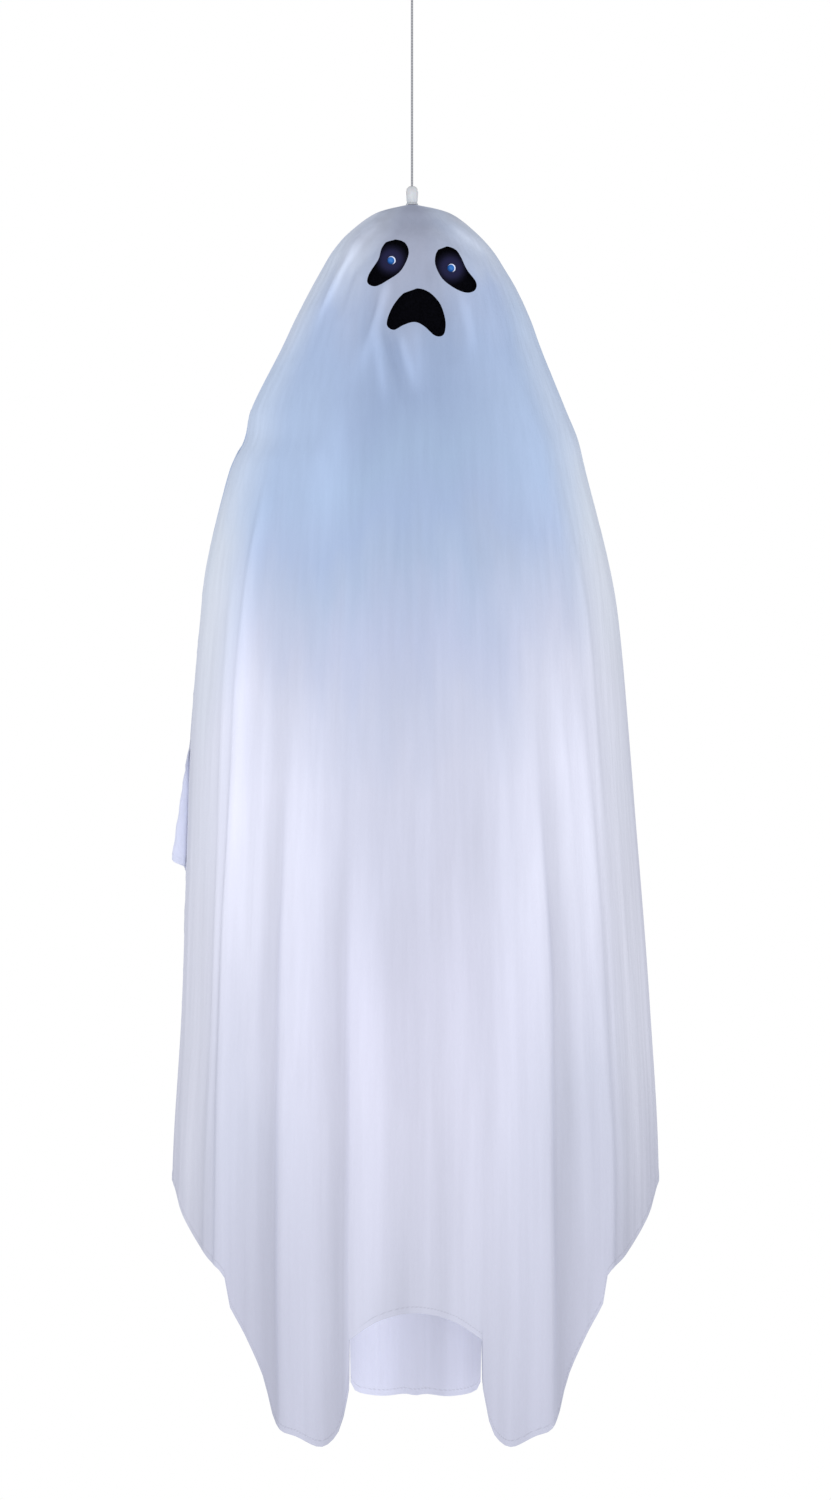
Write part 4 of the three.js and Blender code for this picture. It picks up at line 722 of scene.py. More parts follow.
def build_cape():
    """The second layer of cloth over the back, whose right corner stands out past the shroud."""
    width = CAPE_TO - CAPE_EDGE - CAPE_FROM
    count = round(width / COLUMN)
    close = round(3 * CAPE_EDGE / COLUMN)
    angles = [CAPE_FROM + width * i / count for i in range(count)]
    angles += [CAPE_TO - CAPE_EDGE * (1 - i / close) for i in range(close + 1)]
    columns = []
    maps = {"Weave": [], "Shade": [], "Hem": []}
    for angle in angles:
        hem = cape_hem(angle)
        corner = max(1 - (CAPE_TO - angle) / CAPE_FLARE_SPREAD, 0) ** 2
        to_edge = min(CAPE_TO - angle, angle - CAPE_FROM)
        free = smoothstep(0, CAPE_HELD, to_edge)
        span = math.radians(angle - CAPE_FROM) * CAPE_RADIUS * MM
        column = []
        for k in range(CAPE_ROWS + 1):
            drop = CAPE_TOP + (hem - CAPE_TOP) * k / CAPE_ROWS
            share = (drop - CAPE_FLARE_START) / (CAPE_FLARE_FULL - CAPE_FLARE_START)
            proud = CAPE_GAP + CLOTH * smoothstep(CAPE_TOP - 4, CAPE_TOP + CAPE_SEAM_RISE, drop)
            proud += CAPE_FLARE * corner * min(max(share, 0), 1)
            proud += CAPE_LOOSE * smoothstep(CAPE_TOP, CAPE_SIDE_DROP, drop) * free
            flutter = noise.noise(Vector((angle / 9, drop / 180, 5.5)))
            proud += CAPE_FLUTTER * flutter * smoothstep(300, 700, drop) * free
            lay(maps, column, angle, drop, proud, span, hem, to_edge)
        columns.append(column)
    cape = grid_piece("cape_panel", columns, maps)
    fix_side(cape)
    thicken(cape, CLOTH)
    settle(cape, "back_cape", "shroud_cloth")
    return cape


# The cord: its thickness, the pitch, depth and number of its strands each way, and its route from the
# ferrule up to the ring and back down to the sleeve, as X and Z
CORD = 3
BRAID_PITCH = 7
BRAID_DEPTH = 0.1
STRANDS = 4
CORD_SIDES = 24
CORD_ROUTE = [
    (0, -303.9), (0, -290), (0, -270), (0, -240), (0, -210), (0, -180), (0, -150), (0, -120), (0, -90),
    (0, -65), (0, -50.2), (0, -44.2), (-3.6, -35.2), (-6, -24.2), (-4.24, -19.96), (0, -18.2),
    (4.24, -19.96), (6, -24.2), (6, -34.2), (3.6, -44.2), (3.6, -50.2),
]
CORD_STEP = 0.8


def build_cord():
    """Braided cord, from the ferrule up to its loop in the ring and back down to the sleeve's end."""
    fine = [Vector((x, 0, z)) * MM for x, z in spline(CORD_ROUTE, 12)]
    arcs = [0.0]
    for one, two in zip(fine, fine[1:]):
        arcs.append(arcs[-1] + (two - one).length)
    count = round(arcs[-1] / (CORD_STEP * MM))
    path = []
    for i in range(count + 1):
        want = arcs[-1] * i / count
        k = min(max(bisect.bisect_right(arcs, want) - 1, 0), len(arcs) - 2)
        path.append(fine[k].lerp(fine[k + 1], (want - arcs[k]) / (arcs[k + 1] - arcs[k])))

    def braid(turn, way):
        phase = 2 * math.pi * way / (BRAID_PITCH * MM)
        crossing = math.sin(STRANDS * turn + phase) * math.sin(STRANDS * turn - phase)
        return (CORD / 2 - BRAID_DEPTH + BRAID_DEPTH * crossing) * MM

    cord = tube("hanging_cord_braid", path, braid, CORD_SIDES, "Braid")
    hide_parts("hanging_cord", "cord_loop")
    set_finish(cord, "cord")
    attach(cord, "cord")
    return cord


# The ferrule's wall, all the way round, as radius and height above its foot
FERRULE_PROFILE = [
    (4.4, 0), (5.9, 0), (6.3, 0.4), (6.5, 1.2), (7.1, 6), (7.5, 11), (7.55, 13.6), (7.3, 15.8), (6.7, 17.7),
    (5.7, 19.3), (4.4, 20.4), (3.0, 20.95), (2.3, 20.9), (1.9, 20.5), (1.8, 18), (1.8, 10), (4.4, 10),
]


def build_ferrule():
    """The barrel at the foot of the cord: a moulded sleeve with a rounded top."""
    profile = [(radius, FERRULE_BOTTOM + height) for radius, height in FERRULE_PROFILE]
    ferrule = turned("crown_ferrule_barrel", profile, 64, hollow=True)
    settle(ferrule, "crown_ferrule", "pale_abs", "cord")
    return ferrule


# The hanging ring's bore, wire and depth below the mount, and the pressed sleeve as radius and height
RING_BORE = 20
RING_WIRE = 3
RING_DROP = 10
SLEEVE_PROFILE = [
    (2.6, 0), (3.05, 0.25), (3.3, 0.8), (3.3, 2.4), (3.05, 3.1), (2.95, 4.2), (3.05, 5.3), (3.3, 6.0),
    (3.3, 6.6), (3.05, 7.3), (2.95, 8.4), (3.05, 9.5), (3.3, 10.2), (3.3, 11.2), (3.05, 11.75), (2.6, 12),
]


def build_hanger():
    """The welded wire ring, and the oval sleeve that is pressed on the cord in two places."""
    wire = RING_WIRE / 2
    middle = (RING_BORE + RING_WIRE) / 2
    turns = [2 * math.pi * (k + 0.5) / 16 for k in range(16)]
    profile = [(middle + wire * math.cos(turn), wire * math.sin(turn)) for turn in turns]
    ring = turned("hanging_ring_wire", profile, 72, (0, 0, -RING_DROP), (0, 90, 0), hollow=True)
    settle(ring, "hanging_ring", "steel", "hanger")
    low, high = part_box("crimp_sleeve")
    sleeve = turned("crimp_sleeve_oval", SLEEVE_PROFILE, 40)
    sleeve.scale = ((high[0] - low[0]) / (high[1] - low[1]), 1, 1)
    sleeve.location = ((low[0] + high[0]) / 2, 0, low[2])
    smooth(placed(sleeve, "crimp_sleeve_oval"))
    settle(sleeve, "crimp_sleeve", "steel", "cord")
    return ring, sleeve


def build_liner():
    """Black mesh stretched behind the cut-outs, with a hole for each eye light."""
    columns = []
    weave = []
    for i in range(LINER_COLUMNS + 1):
        angle = LINER_FROM + (LINER_TO - LINER_FROM) * i / LINER_COLUMNS
        column = []
        for k in range(LINER_ROWS + 1):
            drop = LINER_TOP + (LINER_BOTTOM - LINER_TOP) * k / LINER_ROWS
            column.append(form_point(angle, drop, -LINER_DEPTH))
            weave.append((math.radians(angle) * LINER_RADIUS * MM, -column[-1].z))
        columns.append(column)
    liner = grid_piece("face_mesh", columns, {"Weave": weave})
    fix_side(liner)
    radius = EYE_LIGHT / 2 + EYE_ROOM
    bore = [(radius, -EYE_HOLE_DEPTH), (radius, EYE_HOLE_DEPTH)]
    tools = []
    for side, x, drop in EYE_LIGHTS:
        at = (x, EYE_LIGHT_Y, CROWN - drop)
        tools.append(turned("hole_" + side, bore, 32, at, (90, 0, 0)))
    thicken(liner, LINER)
    cut_with(liner, tools)
    smooth(liner, 50)
    settle(liner, "face_liner", "face_mesh")
    return liner


def in_mm(corner):
    return [value / MM for value in corner]


# The ribs of the slide switch's cap
RIBS = 3
RIB_HEIGHT = 0.5


def build_switch_cap():
    """The slide switch's cap: a small block whose lower face is ribbed for the finger."""
    low, high = map(in_mm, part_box("mode_switch_knob"))
    low[2] += RIB_HEIGHT
    cap = boxed("mode_switch_cap", low, high)
    bpy.ops.object.mode_set(mode="EDIT")
    mesh = bmesh.from_edit_mesh(cap.data)
    for edge in mesh.edges:
        one, two = edge.verts
        edge.select_set(abs(one.co.x - two.co.x) > 0.001)
    bpy.ops.mesh.subdivide(number_cuts=2 * RIBS)
    mesh = bmesh.from_edit_mesh(cap.data)
    lower = [face for face in mesh.faces if face.normal.z < -0.9]
    for face in mesh.faces:
        face.select_set(False)
    for face in sorted(lower, key=lambda face: face.calc_center_median().x)[1::2]:
        face.select_set(True)
    bpy.ops.mesh.extrude_region_move(TRANSFORM_OT_translate={"value": (0, 0, -RIB_HEIGHT * MM)})
    bpy.ops.object.mode_set(mode="OBJECT")
    eased(cap, 0.15)
    settle(cap, "mode_switch_knob", "black_abs", "mode_switch")
    return cap


def build_button():
    """The try-me button: a short pin with a domed end and a rounded shoulder."""
    low, high = map(in_mm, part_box("try_me_button"))
    radius = (high[0] - low[0]) / 2
    tall = high[2] - low[2]
    profile = [(radius - 0.4, tall), (radius, tall - 0.4), (radius, 1.6), (radius - 0.3, 0.9)]
    profile += [(radius - 1, 0.45), (radius - 2.2, 0.15), (0.4, 0)]
    at = ((low[0] + high[0]) / 2, (low[1] + high[1]) / 2, low[2])
    button = turned("try_me_button_dome", profile, 40, at)
    settle(button, "try_me_button", "black_abs", "try_me")
    return button


# The chest light's cup: its wall, the radius of its foot's hole, and the shallow rings round it
DIFFUSER_WALL = 2
DIFFUSER_HOLE = 13
DIFFUSER_BEADS = 5
DIFFUSER_BEAD = 0.8


def build_diffuser():
    """The chest light's opal cup, with a rounded foot and shallow rings round its wall."""
    low, high = map(in_mm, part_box("light_diffuser"))
    radius = (high[0] - low[0]) / 2
    tall = high[2] - low[2]
    groove = radius - DIFFUSER_BEAD
    profile = [(DIFFUSER_HOLE, 0), (radius - 5, 0), (radius - 2, 0.9), (radius - 0.6, 2.6)]
    profile += [(radius - 0.1, 5)]
    for k in range(DIFFUSER_BEADS):
        z = 12 + (tall - 20) * k / (DIFFUSER_BEADS - 1)
        profile += [(radius, z - 2), (groove, z - 0.6), (groove, z + 0.6), (radius, z + 2)]
    inner = radius - DIFFUSER_WALL
    profile += [(radius, tall), (inner, tall), (inner, 5.5), (inner - 1.4, 3.2), (inner - 4, DIFFUSER_WALL)]
    profile += [(DIFFUSER_HOLE, DIFFUSER_WALL)]
    cup = turned("light_diffuser_cup", profile, 72, (0, 0, low[2]), hollow=True)
    settle(cup, "light_diffuser", "frosted")
    return cup


def build_hoop():
    """The spring wire hoop that holds the cloth out at the shoulders, bent round its uneven oval."""
    low, high = map(Vector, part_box("shoulder_hoop"))
    wire = (high.z - low.z) / 2
    bpy.ops.curve.primitive_bezier_circle_add(radius=1, location=(0, 0, 0))
    hoop = bpy.context.active_object
    for point in hoop.data.splines[0].bezier_points:
        point.handle_left_type = "FREE"
        point.handle_right_type = "FREE"
        for part in ("co", "handle_left", "handle_right"):
            x, y, _ = getattr(point, part)
            side = high.x - wire if point.co.x > 0.5 or x > 0.01 else wire - low.x
            setattr(point, part, Vector((x * side, y * (high.y - wire), (low.z + high.z) / 2)))
    hoop.data.resolution_u = 40
    hoop.data.bevel_depth = wire
    hoop.data.bevel_resolution = 4
    select_only(hoop)
    bpy.ops.object.convert(target="MESH")
    hoop = smooth(placed(bpy.context.active_object, "shoulder_hoop_wire"), 60)
    settle(hoop, "shoulder_hoop", "steel")
    return hoop


def linear(code):
    """A colour from its sRGB hex value."""
    channels = [int(code[i:i + 2], 16) / 255 for i in (1, 3, 5)]
    return [c / 12.92 if c <= 0.04045 else ((c + 0.055) / 1.055) ** 2.4 for c in channels] + [1.0]


def add_node(tree, kind, links=(), stops=(), **settings):
    """Adds a shader node, sets its properties and sockets, and links its inputs.

    A setting named like a property sets that, and any other sets the socket of that name, with
    underscores for spaces. Links are the sources of the first inputs in their order, or pairs of an
    input's name or number and a source. A source is an output socket, a node, which stands for its
    first output, or a plain value. Stops are a ramp's positions and colour codes."""
    node = tree.nodes.new("ShaderNode" + kind)
    for name, value in settings.items():
        if hasattr(node, name):
            setattr(node, name, value)
        else:
            node.inputs[name.replace("_", " ")].default_value = value
    for i, link in enumerate(links):
        name, source = link if isinstance(link, tuple) else (i, link)
        if isinstance(source, bpy.types.Node):
            source = source.outputs[0]
        if isinstance(source, bpy.types.NodeSocket):
            tree.links.new(source, node.inputs[name])
        else:
            node.inputs[name].default_value = source
    for i, (position, colour) in enumerate(stops):
        elements = node.color_ramp.elements
        if 0 < i < len(stops) - 1:
            elements.new(position)
        element = elements[min(i, len(elements) - 1)]
        element.position = position
        element.color = linear(colour)
    return node


def new_material(name):
    """An empty material, and the function that adds nodes to it."""
    material = bpy.data.materials.new(name)
    material.use_nodes = True
    material.node_tree.nodes.clear()
    return material, functools.partial(add_node, material.node_tree)


def surfaced(material, shader):
    """Gives a material its finished shader."""
    add_node(material.node_tree, "OutputMaterial", [shader])
    return material


# Colours of the cloth by drop: down its middle, towards its sides and along its side edges. Over its
# warm lavender white they hold painted light: the blue of the chest is the painted glow of the chest
# light inside, the greyer middle over the crown and head is painted shade, the paler side edges are a
# painted highlight where the cloth turns away, and the darker sides low down are painted fold shade.
# The colour also darkens towards the hem.
CLOTH_LENGTH = STATIONS[-1][0]
CLOTH_COLOURS_AND_PAINTED_LIGHT = [
    (0, "#b4bacd", "#bcc3d5", "#c9d1e3"),
    (25, "#b2b9cf", "#cfd8ec", "#e4ebfb"),
    (50, "#b2b9d0", "#d1dcf2", "#e3edff"),
    (120, "#a9b4ce", "#b9caec", "#dbe8ff"),
    (190, "#a2b4d5", "#b3c7ea", "#d3e4ff"),
    (250, "#a0b3d5", "#b5c9ea", "#d5e5ff"),
    (330, "#a8bddd", "#b5c9ea", "#dce9ff"),
    (400, "#abbee0", "#b9c9e9", "#e6effe"),
    (460, "#b1c2e0", "#c3cfea", "#e9effd"),
    (550, "#c2cbe7", "#d0d6ed", "#e7ecfa"),
    (620, "#cbd1e8", "#dcdff2", "#e7eaf9"),
    (720, "#d2d5e9", "#dfe1f3", "#e5e8f7"),
    (850, "#cfd1e4", "#d8daeb", "#e5e7f6"),
    (980, "#d0d1e4", "#cccedf", "#e4e6f5"),
    (1100, "#cfd0e2", "#c2c5d6", "#dfe1f0"),
    (1330, "#c3c5d6", "#b9bbcc", "#c7c9da"),
    (1530, "#b9bbcc", "#b5b7c8", "#bcbecf"),
]

# How far the edge of the painted glow of the chest light wanders, and how much lower it lies on the ghost's
# left, in metres
PAINTED_GLOW_WANDER = 0.055
PAINTED_GLOW_SLOPE = 0.03

# The drops between which a painted light brightens the back hem, in the shade of the front, and by how much
HEM_LIGHT_FROM = 1220
HEM_LIGHT_FULL = 1330
HEM_PAINTED_LIGHT = 1.48

# The share of light that comes through the cape's free corner
CORNER_LIGHT = 0.55


def woven_cloth(name, hangs_free):
    """Thin brushed polyester: matt, with a faint sheen and fine upright streaks. The chest carries a
    painted blue glow of the chest light inside, which fades to the cloth's warm lavender white below."""
    material, add = new_material(name)
    place = add("TexCoord").outputs["Object"]
    split = add("SeparateXYZ", [place])
    shade = add("SeparateXYZ", [add("UVMap", uv_map="Shade")])

    # The edge of the painted glow wanders, in long upright patches
    tall = add("Mapping", [place], Scale=(13, 13, 3.2))
    patches = add("TexNoise", [tall], Scale=1.0, Detail=3.0)
    wander = add(
        "MapRange", [patches], From_Min=0.25, From_Max=0.75, To_Min=-PAINTED_GLOW_WANDER,
        To_Max=PAINTED_GLOW_WANDER,
    )
    slope = add(
        "MapRange", [split.outputs["X"]], From_Min=-0.25, From_Max=0.25, To_Min=PAINTED_GLOW_SLOPE,
        To_Max=-PAINTED_GLOW_SLOPE,
    )
    height = add("Math", [split.outputs["Z"], wander], operation="ADD")
    height = add("Math", [height, slope], operation="ADD")
    level = add("MapRange", [height], From_Min=CROWN * MM, From_Max=(CROWN - CLOTH_LENGTH) * MM)
    # Ramps of the table's colours, with their painted glow, painted shade and painted side highlights
    middle, side, edge = [
        add("ValToRGB", [level], [(row[0] / CLOTH_LENGTH, row[k]) for row in CLOTH_COLOURS_AND_PAINTED_LIGHT])
        for k in (1, 2, 3)
    ]
    # The colour moves from the middle to the sides and on to the paler side edges, a painted highlight
    across = add("MapRange", [shade.outputs["X"]], To_Min=-1.0, To_Max=1.0)
    across = add("Math", [across], operation="ABSOLUTE")
    to_side = add("MapRange", [across], interpolation_type="SMOOTHSTEP", From_Min=0.12, From_Max=0.75)
    to_edge = add("MapRange", [across], interpolation_type="SMOOTHSTEP", From_Min=0.72, From_Max=0.98)
    colour_and_painted_light = add("Mix", [(0, to_side), (6, middle), (7, side)], data_type="RGBA")
    colour_and_painted_light = add("Mix", [(0, to_edge), (6, colour_and_painted_light.outputs[2]), (7, edge)], data_type="RGBA")

    # Brushed streaks about 8 mm apart, and painted shade in the folds' valleys with a painted highlight on
    # their ridges
    upright = add("Mapping", [place], Scale=(120, 120, 4))
    streaks = add("TexNoise", [upright], Scale=1.0, Detail=2.0)
    brushed = add("MapRange", [streaks], To_Min=0.95, To_Max=1.05)
    valley = add(
        "MapRange", [shade.outputs["Y"]], interpolation_type="SMOOTHSTEP", From_Min=0.15,
        From_Max=0.9, To_Min=0.85, To_Max=1.07,
    )

    # The side seams are a fine dark line, and the hem is run with stitches drawn 4 mm long
    edges = add("SeparateXYZ", [add("UVMap", uv_map="Hem")])
    seam = add(
        "MapRange", [edges.outputs["Y"]], From_Min=0.0002, From_Max=0.0014, To_Min=0.84,
        To_Max=1.0,
    )
    row = add("Math", [edges.outputs["X"], STITCH_ROW * MM], operation="SUBTRACT")
    row = add("Math", [row], operation="ABSOLUTE")
    row = add("MapRange", [row], From_Min=0.0004, From_Max=0.001, To_Min=1.0, To_Max=0.0)
    thread = add("UVMap", uv_map="Weave")
    pitch = 2 * math.pi / (STITCH * MM)
    thread = add("VectorMath", [thread, [pitch] * 3], operation="DOT_PRODUCT")
    thread = add("Math", [thread.outputs["Value"]], operation="SINE")
    thread = add("MapRange", [thread], From_Min=-0.5, From_Max=0.1)
    stitches = add("Math", [row, thread], operation="MULTIPLY")
    sewn = add("MapRange", [stitches], To_Min=1.0, To_Max=0.9)
    sewn = add("Math", [sewn, seam], operation="MULTIPLY")
    valley = add("Math", [valley, sewn], operation="MULTIPLY")

    # The back hem, which hangs clear of the front, is brightened by painted light where the front shades it
    behind = add("MapRange", [split.outputs["Y"]], From_Min=0.05, From_Max=0.12)
    low = add(
        "MapRange", [split.outputs["Z"]], interpolation_type="SMOOTHSTEP",
        From_Min=(CROWN - HEM_LIGHT_FROM) * MM, From_Max=(CROWN - HEM_LIGHT_FULL) * MM,
    )
    painted_hem_light = add("Math", [behind, low], operation="MULTIPLY")
    painted_hem_light = add("MapRange", [painted_hem_light], To_Min=1.0, To_Max=HEM_PAINTED_LIGHT)
    valley = add("Math", [valley, painted_hem_light], operation="MULTIPLY")
    colour = add("VectorMath", [colour_and_painted_light.outputs[2], brushed], operation="MULTIPLY")
    colour = add("VectorMath", [colour, valley], operation="MULTIPLY")

    # Threads drawn 2.4 mm apart, as coarse as they need to be to show
    fine = add("TexNoise", [place], Scale=420.0, Detail=1.0)
    bump = add("Bump", [("Height", fine)], Strength=0.25, Distance=0.0006)
    bump = add("Bump", [("Height", streaks), ("Normal", bump)], Strength=0.35, Distance=0.002)
    bump = add("Bump", [("Height", stitches), ("Normal", bump)], Strength=0.6, Distance=0.0004)
    shader = add(
        "BsdfPrincipled", [("Base Color", colour), ("Normal", bump)], Roughness=0.88, Sheen_Weight=0.12,
        Sheen_Roughness=0.6, Sheen_Tint=linear("#c4d4ff"), Specular_IOR_Level=0.2,
    )
    if not hangs_free:
        return surfaced(material, shader)

    # Where the cape's corner hangs in the air, light comes through it
    low = add(
        "MapRange", [edges.outputs["X"]], interpolation_type="SMOOTHSTEP", From_Min=0.09,
        From_Max=0.17, To_Min=1.0, To_Max=0.0,
    )
    through = add(
        "MapRange", [edges.outputs["Y"]], interpolation_type="SMOOTHSTEP", From_Min=0.012,
        From_Max=0.03, To_Min=CORNER_LIGHT, To_Max=0.0,
    )
    through = add("Math", [through, low], operation="MULTIPLY")
    glow = add("BsdfTranslucent", Color=linear("#f4f6ff"))
    mixed = add("MixShader", [through, shader, glow])
    return surfaced(material, mixed)


def finish(name, dark, light, cloud, grain, depth, roughness, spread=0.08, **settings):
    """A surface whose tone drifts between two close colours, with a fine grain that breaks up its shine.

    Cloud, grain and depth are the size of the drifts, the spacing of the grain and its height, in mm."""
    material, add = new_material(name)
    place = add("TexCoord").outputs["Object"]
    drift = add("TexNoise", [place], Scale=1000 / cloud, Detail=2.0)
    colour = add("ValToRGB", [drift], [(0.3, dark), (0.7, light)])
    fine = add("TexNoise", [place], Scale=1000 / grain, Detail=2.0)
    gloss = add("MapRange", [fine], To_Min=roughness - spread, To_Max=roughness + spread)
    bump = add("Bump", [("Height", fine)], Strength=0.4, Distance=depth * MM)
    shader = add(
        "BsdfPrincipled", [("Base Color", colour), ("Roughness", gloss), ("Normal", bump)], **settings,
    )
    return surfaced(material, shader)


def drawn_steel():
    """Zinc-plated steel: bright blue grey, with fine lines from the drawing die along its length."""
    material, add = new_material("Zinc-plated drawn steel")
    place = add("TexCoord").outputs["Object"]
    # Lines drawn 0.8 mm apart and 25 mm long
    along = add("Mapping", [place], Scale=(1250, 1250, 40))
    lines = add("TexNoise", [along], Scale=1.0, Detail=2.0)
    dull = add("TexNoise", [place], Scale=90.0, Detail=3.0)
    colour = add("ValToRGB", [dull], [(0.3, "#a3a7ad"), (0.7, "#c3c7cc")])
    gloss = add("MapRange", [lines], To_Min=0.22, To_Max=0.45)
    bump = add("Bump", [("Height", lines)], Strength=0.3, Distance=0.00004)
    shader = add(
        "BsdfPrincipled", [("Base Color", colour), ("Roughness", gloss), ("Normal", bump)], Metallic=1.0,
    )
    return surfaced(material, shader)


def opal_diffuser():
    """Opal polycarbonate with blue lamps behind it: milky, and brightest at the height of the lamps near
    its top."""
    material, add = new_material("Opal polycarbonate")
    place = add("TexCoord").outputs["Object"]
    split = add("SeparateXYZ", [place])
    low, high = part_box("light_diffuser")
    level = add(
        "MapRange", [split.outputs["Z"]], interpolation_type="SMOOTHSTEP", From_Min=low[2],
        From_Max=high[2],
    )
    glow = add("ValToRGB", [level], [(0.0, "#6f9be0"), (0.6, "#9cc0f6"), (1.0, "#d4e4ff")])
    frost = add("TexNoise", [place], Scale=700.0, Detail=2.0)
    bump = add("Bump", [("Height", frost)], Strength=0.3, Distance=0.0001)
    shader = add(
        "BsdfPrincipled", [("Emission Color", glow), ("Normal", bump)], Base_Color=linear("#dfe8f6"),
        Roughness=0.5, Emission_Strength=0.8,
    )
    return surfaced(material, shader)


def printed_board():
    """Glass epoxy laminate under green solder mask, with tracks and pads drawn about 2.5 mm apart that
    show as a lighter, slightly raised green."""
    material, add = new_material("Masked circuit board")
    place = add("TexCoord").outputs["Object"]
    cells = add("TexVoronoi", [place], distance="MANHATTAN", feature="F1", Scale=400.0)
    tracks = add(
        "ValToRGB", [cells.outputs["Distance"]],
        [(0.3, "#2f7a4a"), (0.42, "#14502c"), (1.0, "#0f4526")],
    )
    bump = add("Bump", [("Height", cells.outputs["Distance"])], Strength=0.3, Distance=0.0001)
    shader = add(
        "BsdfPrincipled", [("Base Color", tracks), ("Normal", bump)], Roughness=0.35, Coat_Weight=0.2,
    )
    return surfaced(material, shader)


def finishes():
    """The finish of each of the record's material slots that a CAD solid still shows."""
    return {
        # Injection moulded with a fine spark-eroded grain: satin, never glossy
        "pale_abs": finish(
            "Pale moulded ABS", "#c6c8cd", "#d3d5da", 14, 1.2, 0.04, 0.42, Subsurface_Weight=0.05,
        ),
        # Blow moulded, so matt and cloudy, with a soft orange-peel surface
        "head_abs": finish("Blow-moulded polyethylene", "#d3d4d8", "#dedfe3", 30, 3.0, 0.12, 0.55),
        # Black textured mouldings, whose grain scatters the light to a soft grey sheen
        "black_abs": finish("Black textured ABS", "#151518", "#202024", 18, 1.0, 0.06, 0.52),
        # Mid grey textured mouldings of the control box and the frame
        "grey_abs": finish("Grey textured ABS", "#a6a9b2", "#b6b9c1", 22, 1.0, 0.06, 0.5),
        # Unfilled acetal: creamy, dense and slightly waxy
        "acetal": finish(
            "Natural acetal", "#e2dfd3", "#efece2", 12, 0.8, 0.02, 0.32, Subsurface_Weight=0.1,
        ),
        "steel": drawn_steel(),
        "frosted": opal_diffuser(),
        "laminate": printed_board(),
        # Plain grey shrink sleeve, drawn tight over the can: smooth and half glossy
        "cell": finish("Grey shrink sleeve", "#55585f", "#666a72", 16, 2.0, 0.03, 0.28, Coat_Weight=0.3),
        # Bright nickel, warmer than the steel, with a faint cloudiness
        "nickel": finish("Nickel plate", "#b5afa2", "#cdc7ba", 6, 0.7, 0.01, 0.24, Metallic=1.0),
        # Soft PVC sheath: matt black that picks up dust
        "cable": finish("Black PVC sheath", "#131315", "#1f1f22", 10, 0.9, 0.03, 0.6),
    }


def braided_cord():
    """Grey polyester braid: matt, with painted shade darkening the grey between its strands."""
    material, add = new_material("Braided polyester cord")
    split = add("SeparateXYZ", [add("UVMap", uv_map="Braid")])
    turn = add("Math", [split.outputs["X"], 2 * math.pi * STRANDS], operation="MULTIPLY")
    pitch = 2 * math.pi / (BRAID_PITCH * MM)
    way = add("Math", [split.outputs["Y"], pitch], operation="MULTIPLY")
    up = add("Math", [turn, way], operation="ADD")
    down = add("Math", [turn, way], operation="SUBTRACT")
    up = add("Math", [up], operation="SINE")
    down = add("Math", [down], operation="SINE")
    crossing = add("Math", [up, down], operation="MULTIPLY")
    height = add("MapRange", [crossing], From_Min=-1.0)
    # Painted shade: darker where the braid lies low between its strands
    colour = add("ValToRGB", [height], [(0.1, "#77787e"), (0.6, "#9fa0a7"), (1.0, "#b9bac0")])
    bump = add("Bump", [("Height", height)], Strength=0.5, Distance=0.0002)
    shader = add(
        "BsdfPrincipled", [("Base Color", colour), ("Normal", bump)], Roughness=0.8, Sheen_Weight=0.1,
    )
    return surfaced(material, shader)


def face_mesh_cloth():
    """Black polyester mesh with holes drawn 1.6 mm apart. Round each eye light a painted glow of its light,
    a dark violet blue, dies away within 24 mm."""
    material, add = new_material("Black polyester mesh")
    place = add("TexCoord").outputs["Object"]
    grid = add("TexVoronoi", [place], Scale=620.0)
    holes = add("ValToRGB", [grid.outputs["Distance"]], [(0.25, "#010102"), (0.6, "#07070c")])
    glow = None
    for _, x, drop in EYE_LIGHTS:
        centre = Vector((x, EYE_LIGHT_Y, CROWN - drop)) * MM
        away = add("VectorMath", [place, centre], operation="SUBTRACT")
        flat = add("VectorMath", [away, [1, 0.3, 1]], operation="MULTIPLY")
        far = add("VectorMath", [flat], operation="LENGTH")
        near = add(
            "MapRange", [far.outputs["Value"]], interpolation_type="SMOOTHERSTEP",
            From_Min=GLOW_FROM * MM, From_Max=GLOW_TO * MM, To_Min=1.0, To_Max=0.0,
        )
        glow = near if glow is None else add("Math", [glow, near], operation="MAXIMUM")
    # Painted glow of the eye lights on the black mesh
    painted_glow = add("ValToRGB", [glow], [(0.0, "#000000"), (0.5, "#141425"), (1.0, "#242442")])
    shader = add(
        "BsdfPrincipled", [("Base Color", holes), ("Emission Color", painted_glow)], Roughness=0.95,
        Specular_IOR_Level=0.02, Emission_Strength=1.0,
    )
    return surfaced(material, shader)


